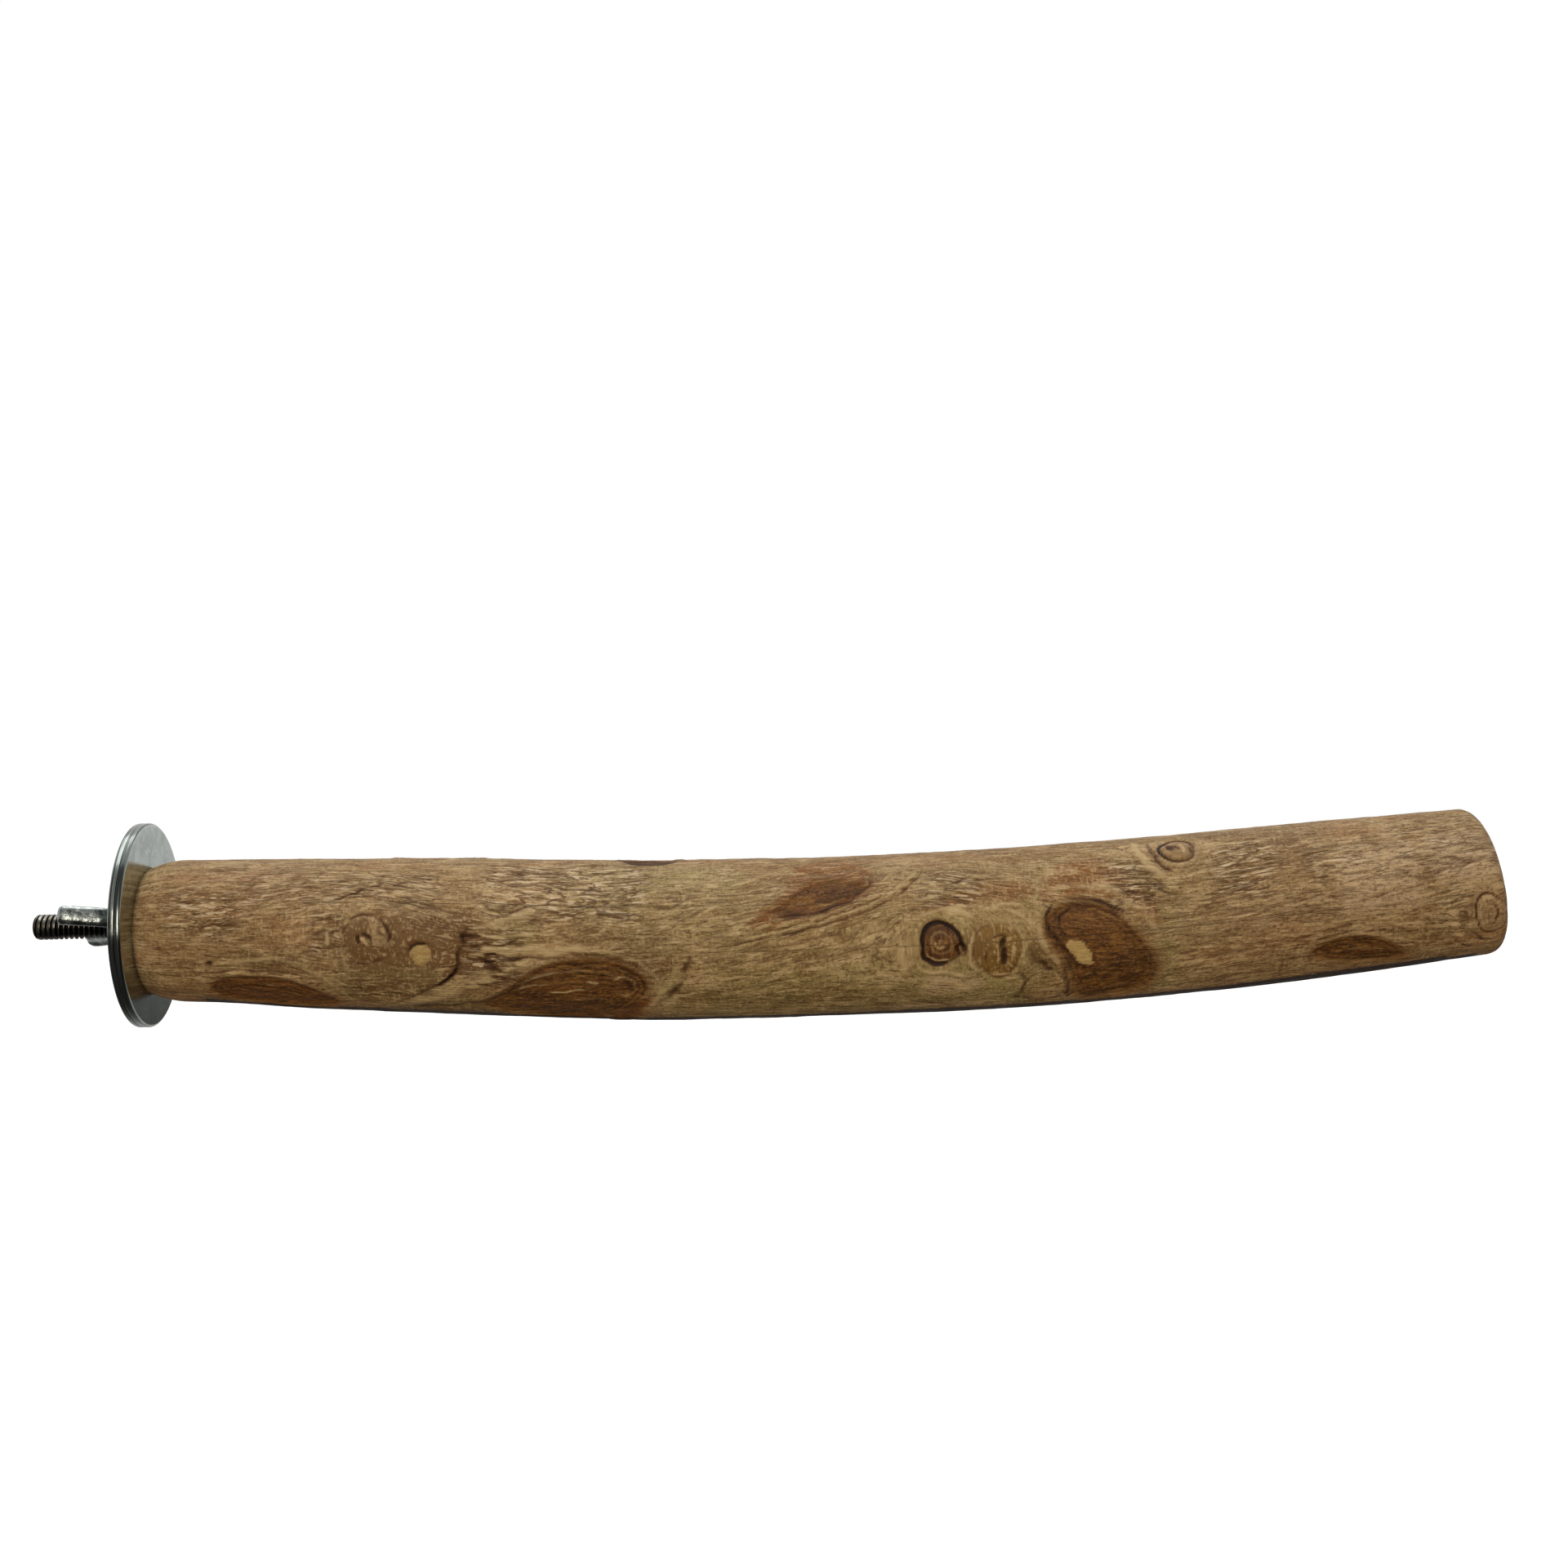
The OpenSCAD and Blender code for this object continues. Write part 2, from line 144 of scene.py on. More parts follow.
# Ridges, grooves and stains: points on the skin, rise (a groove sinks), how pale the line is
# (less than nothing for dark), and half its width. The pale on ridges is partly painted
# highlight and the dark in grooves partly painted shade; the rest is the wood's stains and cracks
lines = [
    # the swept ridge above the brown patch near the washer
    ([(19, -8.2), (25, -6.2), (33, -5.2), (40, -6.0), (45, -9.0), (49.5, -13.5), (52, -19)],
     0.34, 0.50, 0.65),
    ([(17.5, -9.8), (24, -8.1), (33, -7.3), (40, -8.3), (45, -11.8), (49, -17)], 0, -0.30, 1.1),
    ([(18, -10.9), (24, -9.4), (33, -8.7), (39.5, -9.8), (44.5, -13.4), (49, -18.5)],
     -0.22, -1.0, 0.4),
    ([(20, -11.4), (26, -10.0), (34, -9.5), (41, -11.0), (45.6, -14.8)], 0.20, 0.55, 0.4),
    ([(18.5, -12.8), (26, -11.3), (34, -10.9), (40, -12.2), (45, -16)], -0.20, -0.9, 0.35),
    ([(28, -13.4), (36, -13.8), (41, -16.3), (44, -19)], 0.14, 0.45, 0.35),
    ([(22, -15), (29, -14.6), (37, -15.6), (42, -18.6)], -0.14, -0.8, 0.35),
    # the long ridge that climbs from the lip to the great brown patch, and its grooves
    ([(56, -20.6), (62, -19.2), (70, -16.2), (77, -12.8), (84, -9.0), (90, -6.0), (97, -3.4),
      (106, -0.8)], 0.30, 0.62, 2.3),
    ([(66, -22.0), (74, -18.6), (82, -14.2), (88, -10.8), (93, -7.8)], -0.16, -0.35, 0.8),
    ([(62.6, -20.4), (70, -20.2), (76.5, -19.4), (84.3, -16.8), (91, -14)], -0.2, -0.85, 0.8),
    ([(94, -5.2), (100, -2.4), (107, -1.0), (115, -1.2), (122, -3.6), (126.5, -8), (126.5, -12)],
     0.24, 0.40, 0.7),
    ([(93, -6.4), (99, -3.3), (106, -1.9), (114, -2.0), (121, -4.3), (125, -8)],
     -0.22, -1.0, 0.4),
    ([(96, -7.0), (102, -4.6), (110, -3.9), (117, -4.8), (122, -7.6)], -0.14, -0.9, 0.35),
    ([(92, -10.6), (99, -7.4), (107, -6.2), (114, -6.6), (119, -8.8)], 0.16, 0.55, 0.4),
    ([(90, -13.4), (97, -10.6), (104, -9.6)], 0.14, 0.5, 0.35),
    ([(96, -16.4), (103, -15.2), (112, -14.8), (118, -16)], 0.10, 0.45, 0.35),
    # cracks and splinters right of the lip
    ([(79.8, 1.2), (82.5, 1.7), (84.5, 1.9)], -0.20, -1.4, 0.25),
    ([(80.4, 3.0), (84, 3.1), (87, 3.9)], -0.10, -0.8, 0.3),
    ([(84, 0.2), (88, -0.3), (93, 0.4)], -0.20, -1.2, 0.3),
    ([(85, -3), (88, -2.5)], -0.25, -1.6, 0.4), ([(81.5, -0.8), (84, -1.1)], -0.2, -1.2, 0.3),
    ([(88, -4.0), (93, -3.7), (97, -3.2), (100, -2.7)], -0.30, -2.0, 0.42),
    ([(84, -4), (87, -5.6), (90, -7)], -0.25, -1.5, 0.4),
    ([(81, -3.4), (84.5, -4.6)], -0.25, -1.5, 0.35),
    ([(84.5, -6), (88, -6.6)], -0.25, -1.5, 0.6), ([(86, -7.8), (90, -9)], -0.25, -1.2, 0.4),
    ([(82.5, -10.6), (86, -10.8)], -0.25, -1.6, 0.35),
    ([(85, -5), (88, -4.6)], -0.25, -1.4, 0.4), ([(89, -5.4), (93, -5.2)], -0.2, -1.3, 0.35),
    ([(84, -1.8), (88, -1.3), (93, -1.5)], 0.34, 1.4, 0.9),
    ([(81.6, -2.4), (85.4, -3.6)], 0.25, 0.8, 0.4),
    ([(86, 1.4), (91, 1.9), (97, 2.2)], 0.26, 0.7, 0.5),
    ([(83, 2.2), (88, 4.5), (92, 6.3), (97, 8.3), (102, 9.5)], 0.34, 0.60, 1.0),
    ([(85, 4.8), (89, 6.6), (94, 8.6), (99, 10.6)], -0.18, -0.8, 0.5),
    ([(90, 3.4), (96, 5.2), (102, 6.0)], -0.14, -0.6, 0.45),
    ([(84, -0.4), (90, -2.4), (97, -1.2), (104, -0.4), (112, -0.2)], 0.16, 0.40, 0.6),
    ([(86, 8.6), (92, 11.6), (99, 13.0)], 0.18, 0.5, 0.5),
    ([(88, 13.6), (96, 15.4), (104, 15.2)], 0.16, 0.6, 0.4),
    ([(98, 17.4), (106, 18.0), (113, 17.2)], 0.16, 0.6, 0.4),
    ([(103, 11.6), (110, 12.6), (118, 11.4)], 0.18, 0.6, 0.45),
    ([(90, 19.6), (98, 20.6), (106, 20.4)], -0.16, -0.8, 0.35),
    ([(100, 14.2), (108, 15.0), (116, 14.6)], -0.16, -0.8, 0.35),
    # inside the great brown patch
    ([(100, -13.2), (104, -12.6), (108, -11.6), (111, -11.4)], 0.12, 1.1, 0.3),
    ([(109, -9.6), (112.5, -10.2)], 0.08, 1.2, 0.35),
    ([(112.5, -7.5), (113.5, -10.4)], 0, -1.2, 0.3),
    ([(116, -9.4), (118, -7.6), (120.6, -8.6), (121, -11.6), (118.6, -13.6), (115.6, -12.4)],
     0.16, 0.55, 0.35),
    ([(118.5, -8.8), (119.6, -10.5), (119.2, -12.2)], -0.20, -1.4, 0.6),
    # the double ridge that climbs past the small brown patch
    ([(141, -0.6), (152, 1.4), (160, 2.8), (168, 4.4), (177, 7.4), (183, 10.2), (187.6, 13.6),
      (191, 18), (192.6, 23)], -0.28, -1.05, 0.36),
    ([(142, 0.4), (152, 2.2), (160, 3.7), (168, 5.3), (176.6, 8.2), (182.4, 11.1), (186.6, 14.4),
      (189.8, 18.4), (191.2, 23)], 0.26, 0.70, 0.42),
    ([(148, 2.5), (156, 3.9), (164, 5.4), (172, 7.5), (180, 10.9), (184.6, 14.0), (188, 18.6)],
     -0.20, -0.95, 0.28),
    ([(150, 3.8), (158, 5.1), (166, 6.6), (174, 8.9), (180.6, 12.0), (184.2, 15.0), (187, 19)],
     0.20, 0.60, 0.36),
    ([(154, 5.3), (162, 6.4), (170, 8.2), (177, 11.0), (181.6, 14.0)], -0.14, -0.8, 0.3),
    ([(180.4, 14.6), (183.6, 18), (186, 22.6)], 0.16, 0.6, 0.5),
    ([(128, -0.2), (138, 0.2), (148, 1.4)], -0.16, -0.6, 0.5),
    ([(154, 6.6), (160, 6.9), (167, 8.1), (174, 10.8), (178.8, 15), (178.6, 18)], -0.2, -1.5, 0.4),
    ([(159, 9.4), (163, 10.2), (169, 9.8), (174, 11.4)], 0, 0.6, 0.3),
    ([(160.6, 12.4), (163.4, 11.6), (166, 13.2)], 0, 0.6, 0.3),
    ([(126, 3.2), (132, 6.0), (138, 9.4)], 0.18, 0.65, 0.4),
    ([(128.6, 3.4), (134, 6.2), (141, 10.4)], -0.12, -0.65, 0.3),
    ([(130.4, 3.6), (136, 7.0), (143, 10.6)], 0.18, 0.6, 0.4),
    ([(126.6, 6.4), (131.6, 9.2), (136, 12.4)], 0.16, 0.65, 0.4),
    ([(128, 8.8), (134, 11.4), (139, 13.2)], -0.12, -0.6, 0.3),
    ([(134.4, 5.4), (141, 9.4), (149, 13.6), (155, 16)], 0.14, 0.5, 0.4),
    ([(126, 12.6), (131, 13.6), (137, 13.4)], -0.14, -0.7, 0.3),
    ([(138.4, 15.8), (141.4, 16.2)], 0.2, 1.3, 0.6),
    ([(134, 12), (142, 14.5), (150, 18), (156, 21)], 0.18, 0.5, 0.6),
    ([(136, 17), (142, 20), (147, 23)], -0.14, -0.6, 0.5),
    ([(135.4, -1.6), (133.4, -6.8), (130.2, -12), (126, -17)], -0.32, -0.8, 0.75),
    ([(132.5, -4), (129.5, -8.5), (126.6, -13.5), (122.5, -20)], 0.28, 0.55, 0.9),
    ([(140, -5), (147, -4.2), (156, -4.6), (168, -3.4), (180, -3.8)], -0.12, -0.4, 0.6),
    ([(150, -15), (165, -16.5), (182, -17), (194, -14)], -0.10, -0.45, 0.9),
    # right of the heart-shaped patch
    ([(252, 0.6), (262, 0.4), (268, 0), (272, 0), (277, 1.6), (283, 1.8), (287, 2.7), (293, 1.6)],
     -0.18, -0.75, 0.38),
    ([(299, 0.4), (304, 1.6), (311, 1.0)], -0.14, -0.6, 0.4),
    ([(298, 1.4), (304, 2.4), (310, 1.6)], 0.14, 0.8, 0.4),
    ([(250, -8), (256, -9.4), (264, -9.8), (272, -9.4), (280, -8.2), (286, -6.8), (292, -6.2),
      (299, -5.4)], -0.16, -0.65, 0.7),
    ([(272, -8.6), (280, -7.0), (288, -5.4), (296, -4.4), (303, -6.4), (309, -10)],
     0.20, 0.50, 0.8),
    ([(280, -11.4), (286, -9), (294, -7.6), (301, -8.6), (306, -11.5)], -0.16, -0.9, 0.4),
    ([(250, -3), (258, -4.6), (268, -5)], -0.12, -0.6, 0.5),
    ([(249, 6), (254, 3), (261, 2.2)], -0.14, -0.6, 0.5),
    ([(264, -14), (274, -14.6), (284, -14)], -0.12, -0.5, 0.6),
    ([(286, -12.6), (293, -11.4), (300, -12.4)], -0.12, -0.9, 0.35),
    ([(288, -14.2), (296, -13.2), (303, -14.8)], 0.12, 0.6, 0.35),
    # the forked ridge left of the upper knot
    ([(243, 26), (244, 20), (246, 15), (250, 10.5)], 0.46, 1.0, 0.75),
    ([(246.4, 25), (246.8, 20.5), (248.4, 16), (252, 11.8)], -0.30, -1.1, 0.5),
    ([(236, 22), (240, 21), (244, 17)], 0.3, 0.7, 0.6),
    ([(238, 24), (242, 20.4), (243.6, 16)], -0.22, -0.9, 0.5),
    ([(244, 12), (249, 8), (254, 6)], -0.22, -0.9, 0.5),
    ([(249, 14), (254, 13.4), (259, 15.4)], -0.14, -0.6, 0.45),
    # round the three knots in the middle
    ([(196.6, 6.2), (199.6, 5.8), (203, 5.0)], 0.30, 1.5, 0.75),
    ([(209.4, 7.3), (214.8, 7.1)], 0.16, 1.3, 0.35),
    ([(209, 6.5), (214.4, 6.2)], -0.14, -1.3, 0.35),
    ([(205, 7), (210, 6.2), (215, 4.2), (218, 1)], 0.24, 0.7, 0.8),
    ([(190, 5.2), (196, 7.2), (203, 7.4)], 0.2, 0.8, 0.5),
    ([(192, 10), (200, 12), (209, 11)], 0.2, 0.7, 0.5),
    ([(194, 13), (202, 15.6), (211, 14.6)], -0.16, -0.8, 0.4),
    ([(189, -6.4), (193, -8.6), (198, -8.8), (202, -10)], 0.26, 0.9, 0.6),
    ([(192, -11), (198, -11.6), (203, -14)], 0.16, 0.6, 0.8),
    ([(224.5, -9), (226.2, -14), (226, -19)], -0.25, -1.1, 0.5),
    ([(218.6, 2), (219, -2), (221, -5.4), (224, -9)], 0.26, 0.6, 0.7),
    ([(215.6, -3), (218, -6.4), (221.6, -8.8)], -0.2, -0.55, 1.0),
    ([(214.6, -6.4), (217.4, -8.6), (219, -10.6)], 0.2, 0.6, 0.5),
    ([(213.6, -8.8), (215.4, -12), (214.6, -16.6), (212.6, -19)], -0.2, -0.6, 0.8),
    ([(219.6, -7.4), (220.6, -9.2), (222.2, -9.6)], -0.2, -1.3, 0.45),
    ([(212.6, -17.6), (215, -18.2)], -0.1, -1.0, 0.5),
    ([(186, -13), (191, -14.6), (197, -17)], 0, 0.6, 0.5),
    ([(186, -16.4), (192, -18.4), (199, -21)], 0, -0.9, 0.6),
    ([(188, -11), (193, -12.6)], 0, 0.7, 0.5),
    ([(196, -11.4), (201, -13.6), (203, -16)], 0, 0.5, 0.9),
    ([(178, -18), (186, -19.4)], 0, -0.7, 0.6),
    ([(227.4, -12), (227.2, -17.6), (225.8, -20.4)], -0.16, -0.9, 0.35),
    ([(222, 6.6), (220.4, 3.6), (221.2, 0.4), (223.4, -2.8), (226, -7)], -0.2, -2.0, 0.45),
    ([(226.4, 5.4), (223.4, 3.2), (224, 0.4), (226, -2)], -0.16, -1.7, 0.4),
    ([(225, 7.6), (230, 7.6), (235, 6.0), (240, 2.6)], -0.2, -1.5, 0.4),
    ([(227, 5.4), (232, 5.4), (237, 3.2), (241, -1)], -0.14, -1.0, 0.35),
    ([(219.4, 8), (222, 10.4), (228, 11.2), (236, 9.4), (243, 3.6), (249, -5)], 0.26, 0.5, 0.9),
    ([(237, -4), (241, -8.4), (243, -14)], 0.12, 0.25, 0.9),
    ([(234, -17.6), (240, -16), (244, -17)], 0.10, 0.30, 0.6),
    ([(203.2, 0.9), (201.9, -2.4), (202.2, -6), (204.4, -9.6)], 0.30, 0.8, 0.6),
    ([(202.2, 0.4), (200.9, -3), (201.4, -6.8), (203.6, -10.2)], -0.16, -0.6, 0.4),
    ([(204.8, 1.6), (208.6, 2.6), (212.6, 1.4)], 0.14, 0.5, 0.6),
    ([(209.9, -0.6), (209.4, -3.0)], -0.7, -2.8, 0.5),
    ([(209.8, -3.4), (210.6, -5.2), (210.2, -7.2)], -0.7, -2.8, 0.55),
    ([(207.4, -0.4), (209, 0.5), (211, -0.2)], -0.2, -1.1, 0.3),
    ([(208.2, -1.6), (208.8, -4.4), (208.7, -7)], 0.16, 1.1, 0.35),
    ([(212.2, -2.2), (212.6, -5), (212.2, -7.2)], 0.14, 0.8, 0.35),
    ([(206.0, -1), (205.8, -4), (206.4, -7.4)], -0.12, -1.0, 0.35),
    ([(207, -9.9), (212, -9.9)], 0.14, 1.2, 0.35), ([(211, -11), (213, -11.2)], 0.14, 1.2, 0.4),
    ([(190.9, -2.8), (192.0, -4.3), (194.0, -5.2), (197.2, -5.3)], 0.16, 2.2, 0.32),
    ([(190.3, -1.4), (190.6, 1.0), (192.2, 2.9), (195, 3.6)], -0.25, -2.1, 0.5),
    ([(190.1, -2.6), (191.2, -4.9), (193.4, -6.1), (196.4, -6.1)], -0.30, -2.6, 0.5),
    ([(191.8, -2.4), (193.0, -4.0), (195.4, -4.6)], -0.10, -1.7, 0.28),
    ([(191.6, 0.2), (193.4, 2.1), (196.4, 2.2), (198, 0.6)], -0.10, -1.5, 0.28),
    ([(193.4, -0.6), (194.6, -2.6), (196.4, -2.2)], 0.10, 0.8, 0.35),
    ([(195, 3.6), (198, 2.6), (199.6, 0.2), (199.4, -2)], -0.2, -1.8, 0.4),
    ([(198.6, -1.9), (199.1, -3.6)], -0.3, -2.0, 0.32),
    ([(199.4, -2.0), (199.8, -3.6)], 0.1, 1.2, 0.25),
    ([(200.2, -2.0), (200.5, -3.6)], -0.3, -2.0, 0.34),
    # in and round the knot above the lip, and the cut twig
    ([(54.9, 1.6), (55.5, -0.6)], -0.5, -2.3, 0.42), ([(56.2, 2.1), (57.8, 1.0)], -0.3, -1.6, 0.35),
    ([(56.0, 0.9), (57.6, -0.9)], 0.24, 1.6, 0.45), ([(57.8, 1.2), (58.2, -0.6)], -0.2, -1.2, 0.3),
    ([(60.4, 5.2), (61.9, 3.6), (62.5, 1.4), (61.8, -0.6)], -0.26, -1.35, 0.32),
    ([(52.4, 3.6), (52.0, 0.6), (53.4, -2.4)], -0.16, -0.6, 0.4),
    ([(50.4, -3.2), (53, -5.0), (57, -5.8), (61, -4.2)], -0.24, -1.0, 0.45),
    ([(51.4, 4.6), (54.6, 6.8), (58.6, 6.6)], -0.2, -0.55, 0.4),
    ([(50.6, -1), (51.2, -3.6), (54.4, -6.6)], 0.2, 0.6, 0.5),
    ([(47.6, 9.6), (52, 12), (56.6, 14.6), (60.6, 16.8)], -0.24, -1.0, 0.45),
    ([(49, 11.8), (54, 14.2), (58.6, 17.4)], 0.2, 0.5, 0.6),
    ([(60.4, 14.4), (66, 17), (72, 16.4), (77, 14.6)], -0.16, -0.8, 0.45),
    ([(58, -8), (60.4, -9.6)], -0.2, -0.9, 0.35), ([(61.4, -8), (61, -11)], 0.16, 0.6, 0.35),
    ([(67.0, -2.4), (67.5, -1.1), (68.8, -0.2), (70.8, -0.1)], -0.3, -1.9, 0.3),
    ([(72.3, -4.6), (71.0, -5.8), (69, -5.7)], -0.2, -0.9, 0.3),
    ([(60.6, 7.4), (64, 9.4), (70, 10), (76, 8.6), (80, 5)], -0.16, -0.35, 0.9),
    ([(64.2, -1), (64.8, 2.6), (67.6, 5.6), (72, 6.6), (76, 5.4)], 0.16, 0.10, 0.6),
    ([(64.0, 3.6), (66.4, 7.0), (70, 8.6), (75, 8.4), (80, 6.6)], -0.16, -0.35, 0.7),
    ([(66, 12.4), (72, 13), (79, 11), (85, 9)], 0.2, 0.45, 0.9),
    ([(43, 7.5), (48, 4.9), (51.6, 2.6)], -0.14, -0.45, 0.4),
    ([(43, -3.5), (48, -4.2), (52, -4.4)], -0.14, -0.5, 0.4),
    ([(46, 4), (47.6, 1), (47.2, -2)], 0.2, 0.8, 0.5), ([(48.4, 3), (49.6, 0)], -0.2, -0.9, 0.4),
    # the upper knot at the right, the small pit, and splinters
    ([(251.7, 21.2), (252.4, 19.3)], -0.6, -2.8, 0.8),
    ([(253, 21.6), (254.4, 19.6)], -0.2, -1.6, 0.35),
    ([(254.6, 22), (255.4, 18.4)], 0.15, 1.2, 0.6), ([(256.4, 21), (257.4, 18.6)], -0.2, -1.3, 0.3),
    ([(17.8, -7.2), (18.9, -7.1)], -0.4, -2.4, 0.6),
    ([(292, 14), (302, 14.4)], 0.2, 0.9, 0.5), ([(292, 8), (300, 8.3)], 0.2, 0.9, 0.5),
    ([(243.5, 10.6), (247.5, 10.2)], 0.15, 0.7, 0.4), ([(240, 8.2), (243, 7.7)], -0.2, -1.4, 0.4),
    ([(244, 6.6), (247, 6.4)], -0.2, -1.4, 0.4), ([(315, -7), (319, -8)], 0.2, 0.9, 0.4),
    ([(317, -9.6), (319.5, -9.8)], 0.25, 1.2, 0.5), ([(315, -12), (321, -13.4)], 0.2, 0.8, 0.5),
    ([(319.4, -8), (320.6, -12), (322.8, -15), (326, -17)], -0.16, -0.7, 0.4),
    ([(318.0, -9), (319.4, -13), (321.8, -16.2), (325, -18.4)], 0.14, 0.35, 0.4),
    ([(316.4, -10), (318.2, -14.4), (320.8, -17.6), (324, -19.6)], -0.16, -0.75, 0.45),
    ([(326.4, -5.4), (325.8, -8), (326.4, -10.8), (327.8, -11), (328.6, -8.4), (328, -5.6),
      (326.4, -5.2)], -0.2, -1.1, 0.32),
    ([(322.4, -12), (324.6, -15.6), (328, -16.8)], -0.16, -1.1, 0.5),
    ([(318, 2), (322, 6), (328, 8)], -0.16, -0.7, 0.6),
    ([(312, 12), (318, 9), (324, 12)], 0.2, 0.7, 0.5),
    ([(304, 18), (312, 17), (320, 19)], 0.2, 0.7, 0.5),
    ([(110.6, 19), (112.2, 19.2)], 0.2, 1.6, 0.7), ([(300, -4.3), (302, -4.3)], -0.1, -1.0, 0.8),
    ([(137.4, -3.8), (138.6, -4.4)], 0.1, 1.3, 0.6),
    ([(118.6, 31), (124, 30.2), (130, 31)], -0.9, -2.8, 2.8),
    # the side that the photograph doesn't show
    ([(50, 60), (62, 57), (74, 50), (84, 46)], 0.25, 0.4, 0.8),
    ([(110, 58), (124, 55), (136, 48), (142, 40)], -0.25, -0.6, 0.6),
    ([(186, 40), (196, 44), (206, 52)], 0.25, 0.4, 0.8),
    ([(236, -60), (250, -56), (262, -50)], 0.25, 0.4, 0.8),
    ([(60, -40), (72, -44), (84, -52)], -0.25, -0.6, 0.6),
    ([(300, 30), (312, 33), (322, 40)], -0.2, -0.6, 0.6),
    ([(130, -36), (146, -40), (160, -48), (176, -54)], -0.25, -0.4, 0.8),
]
# The lip of healed wood below the cut twig, and how dark its crack is at each point
lip = [(53, -21.6, 0.2), (58, -20.2, 0.5), (62.4, -18.3, 0.8), (65, -16.6, 0.85),
       (69.2, -13.9, 1.0), (73.3, -11.2, 1.3), (76.2, -9.0, 1.9), (77.6, -7.4, 1.8),
       (78.9, -5.0, 1.3), (78.9, -2.4, 1.3), (79.9, -0.2, 1.5), (79.6, 1.6, 1.2), (80.6, 2.6, 0.5)]
# How far the grain climbs beside the long ridge: place along, and height round
ridge_grain = [(120, 0), (145, 1), (160, 3.6), (176, 6.0), (187, 7.0), (193, 6.6), (212, 3),
               (235, 0)]
# Areas with a tint or a torn surface: from and to along and round, edge blur, and weight; the
# brown areas also hold the painted shade along the underside
olive_areas = [(134, 216, -26, -3, 7, 0.85), (48, 76, -18, -6, 4, 0.9),
               (214, 219, -8, -3, 3, 1.0),
               (214, 224, -16, -6, 4, 0.9), (246, 252, -20, -4, 3, 1.2),
               (126, 134, -24, -4, 3, 0.9),
               (112, 150, 10, 26, 8, 0.8), (188, 206, -12, 12, 6, 0.6), (98, 262, -20, 24, 18, 0.5),
               (86, 100, -4, 9, 5, 0.7), (186, 218, -24, -10, 3, 1.1),
               (168, 192, -24, -17, 3, 1.1), (24, 46, -8, -3, 3, 0.6), (60, 90, -24, -14, 4, 0.8),
               (60, 130, 30, 46, 9, 0.4), (180, 260, -60, -40, 9, 0.5)]
red_patches = [
    ([(148, 4.4), (153, 8), (157, 12.6), (160, 18), (161.4, 23), (165, 26.5), (172, 26),
      (177, 22), (180, 17.5), (179, 13), (172, 8.6), (162, 5.6), (154, 4.6)], 1.5),
    ([(218, 6), (220.6, 12), (224, 18), (231, 19.5), (237, 17), (242, 12), (246, 5), (248, -2),
      (240, 4), (232, 8), (225, 8)], 1.05),
    ([(189, 6.6), (196, 10), (204, 14.4), (214, 14.4), (220, 10), (214, 8), (206, 8.5),
      (198, 7)], 0.75),
]
red_areas = [(62, 80, 2, 12, 6, 0.25),
             (264, 290, 4, 14, 6, 0.15), (0, 40, 0, 22, 12, 0.15), (79, 82, -9, 4, 2, 0.8),
             (60, 90, 52, 60, 6, 0.5), (240, 262, 38, 50, 6, 0.5)]
pale_areas = [(180, 196, 19, 27, 4, 0.35), (191, 205, -15, -9, 2.5, 0.6),
              (180, 206, -21.5, -18.5, 1.2, 0.45), (261, 277, 5, 21, 3, 0.15),
              (314, 334, 2, 16, 4, 0.95), (252, 290, -7, 10, 6, 0.25), (84, 122, 8, 24, 5, 0.25),
              (123, 131, -22, -8, 2.5, 0.35), (125, 205, -25, -19, 2, 0.2),
              (290, 312, -4, 16, 4, 0.7),
              (318, 334, -12, 2, 3, 0.35), (86, 102, 2, 9, 3, 0.3),
              (22, 40, 8, 20, 6, 0.15), (0, 7, -20, 20, 4, 0.2), (14, 40, 16, 28, 4, 0.25)]
rough_areas = [(84, 124, 6, 25, 4, 0.9), (46, 74, 8, 20, 4, 0.8), (9, 26, 0, 14, 4, 0.8),
               (261, 277, 4, 21, 3, 0.75), (43, 52, -4, 8, 2, 0.75), (283, 304, 4, 18, 4, 0.5),
               (80, 95, -11, 4, 2, 0.7), (314, 323, -14, 2, 3, 0.6), (190, 206, 6, 18, 4, 0.7),
               (20, 50, 6, 24, 6, 0.5), (236, 249, 4, 18, 3, 0.8), (304, 330, 4, 24, 5, 0.5),
               (240, 300, -6, 8, 6, 0.3), (120, 150, -2, 20, 8, 0.3), (150, 182, 8, 20, 5, 0.4),
               (120, 160, 40, 60, 8, 0.8), (20, 80, -60, -40, 8, 0.7), (290, 325, 44, 60, 8, 0.8),
               (180, 215, -62, -48, 6, 0.7)]
brown_and_underside_shade_areas = [(8, 50, -12, 9, 4, 0.35), (48, 84, -9, 8, 4, 0.95), (51, 74, -19, -8, 3, 0.85),
               (84, 130, -12, -2, 4, 0.85), (81, 91, -11.5, 1, 1.5, 0.95),
               (104, 130, -4, 7, 5, 0.5),
               (27, 42, -8, -3, 3, 0.8), (236, 248, 2, 16, 5, 0.35),
               (60, 100, -26, -19.4, 1.6, 0.9), (138, 180, -17, -12, 2, 0.3),
               (255, 290, 8, 30, 5, 0.5),
               (286, 312, -14, -6, 5, 0.3), (248, 318, -17, -10, 3, 0.3),
               (216, 224, -12, -1, 3, 0.6),
               # the last three brown areas are painted shade, darkening the underside to nearly
               # black
               (140, 150, -8, 0, 4, 0.3), (14, 325, -46, -23.2, 0.8, 2.0),
               (186, 317, -46, -22.3, 0.9, 2.2), (268, 318, -46, -21.5, 0.9, 1.9)]
torn_flake = [(225.5, -2), (229, -2.5), (231, -6), (232, -9.5), (229, -9), (226.5, -6), (225, -4)]
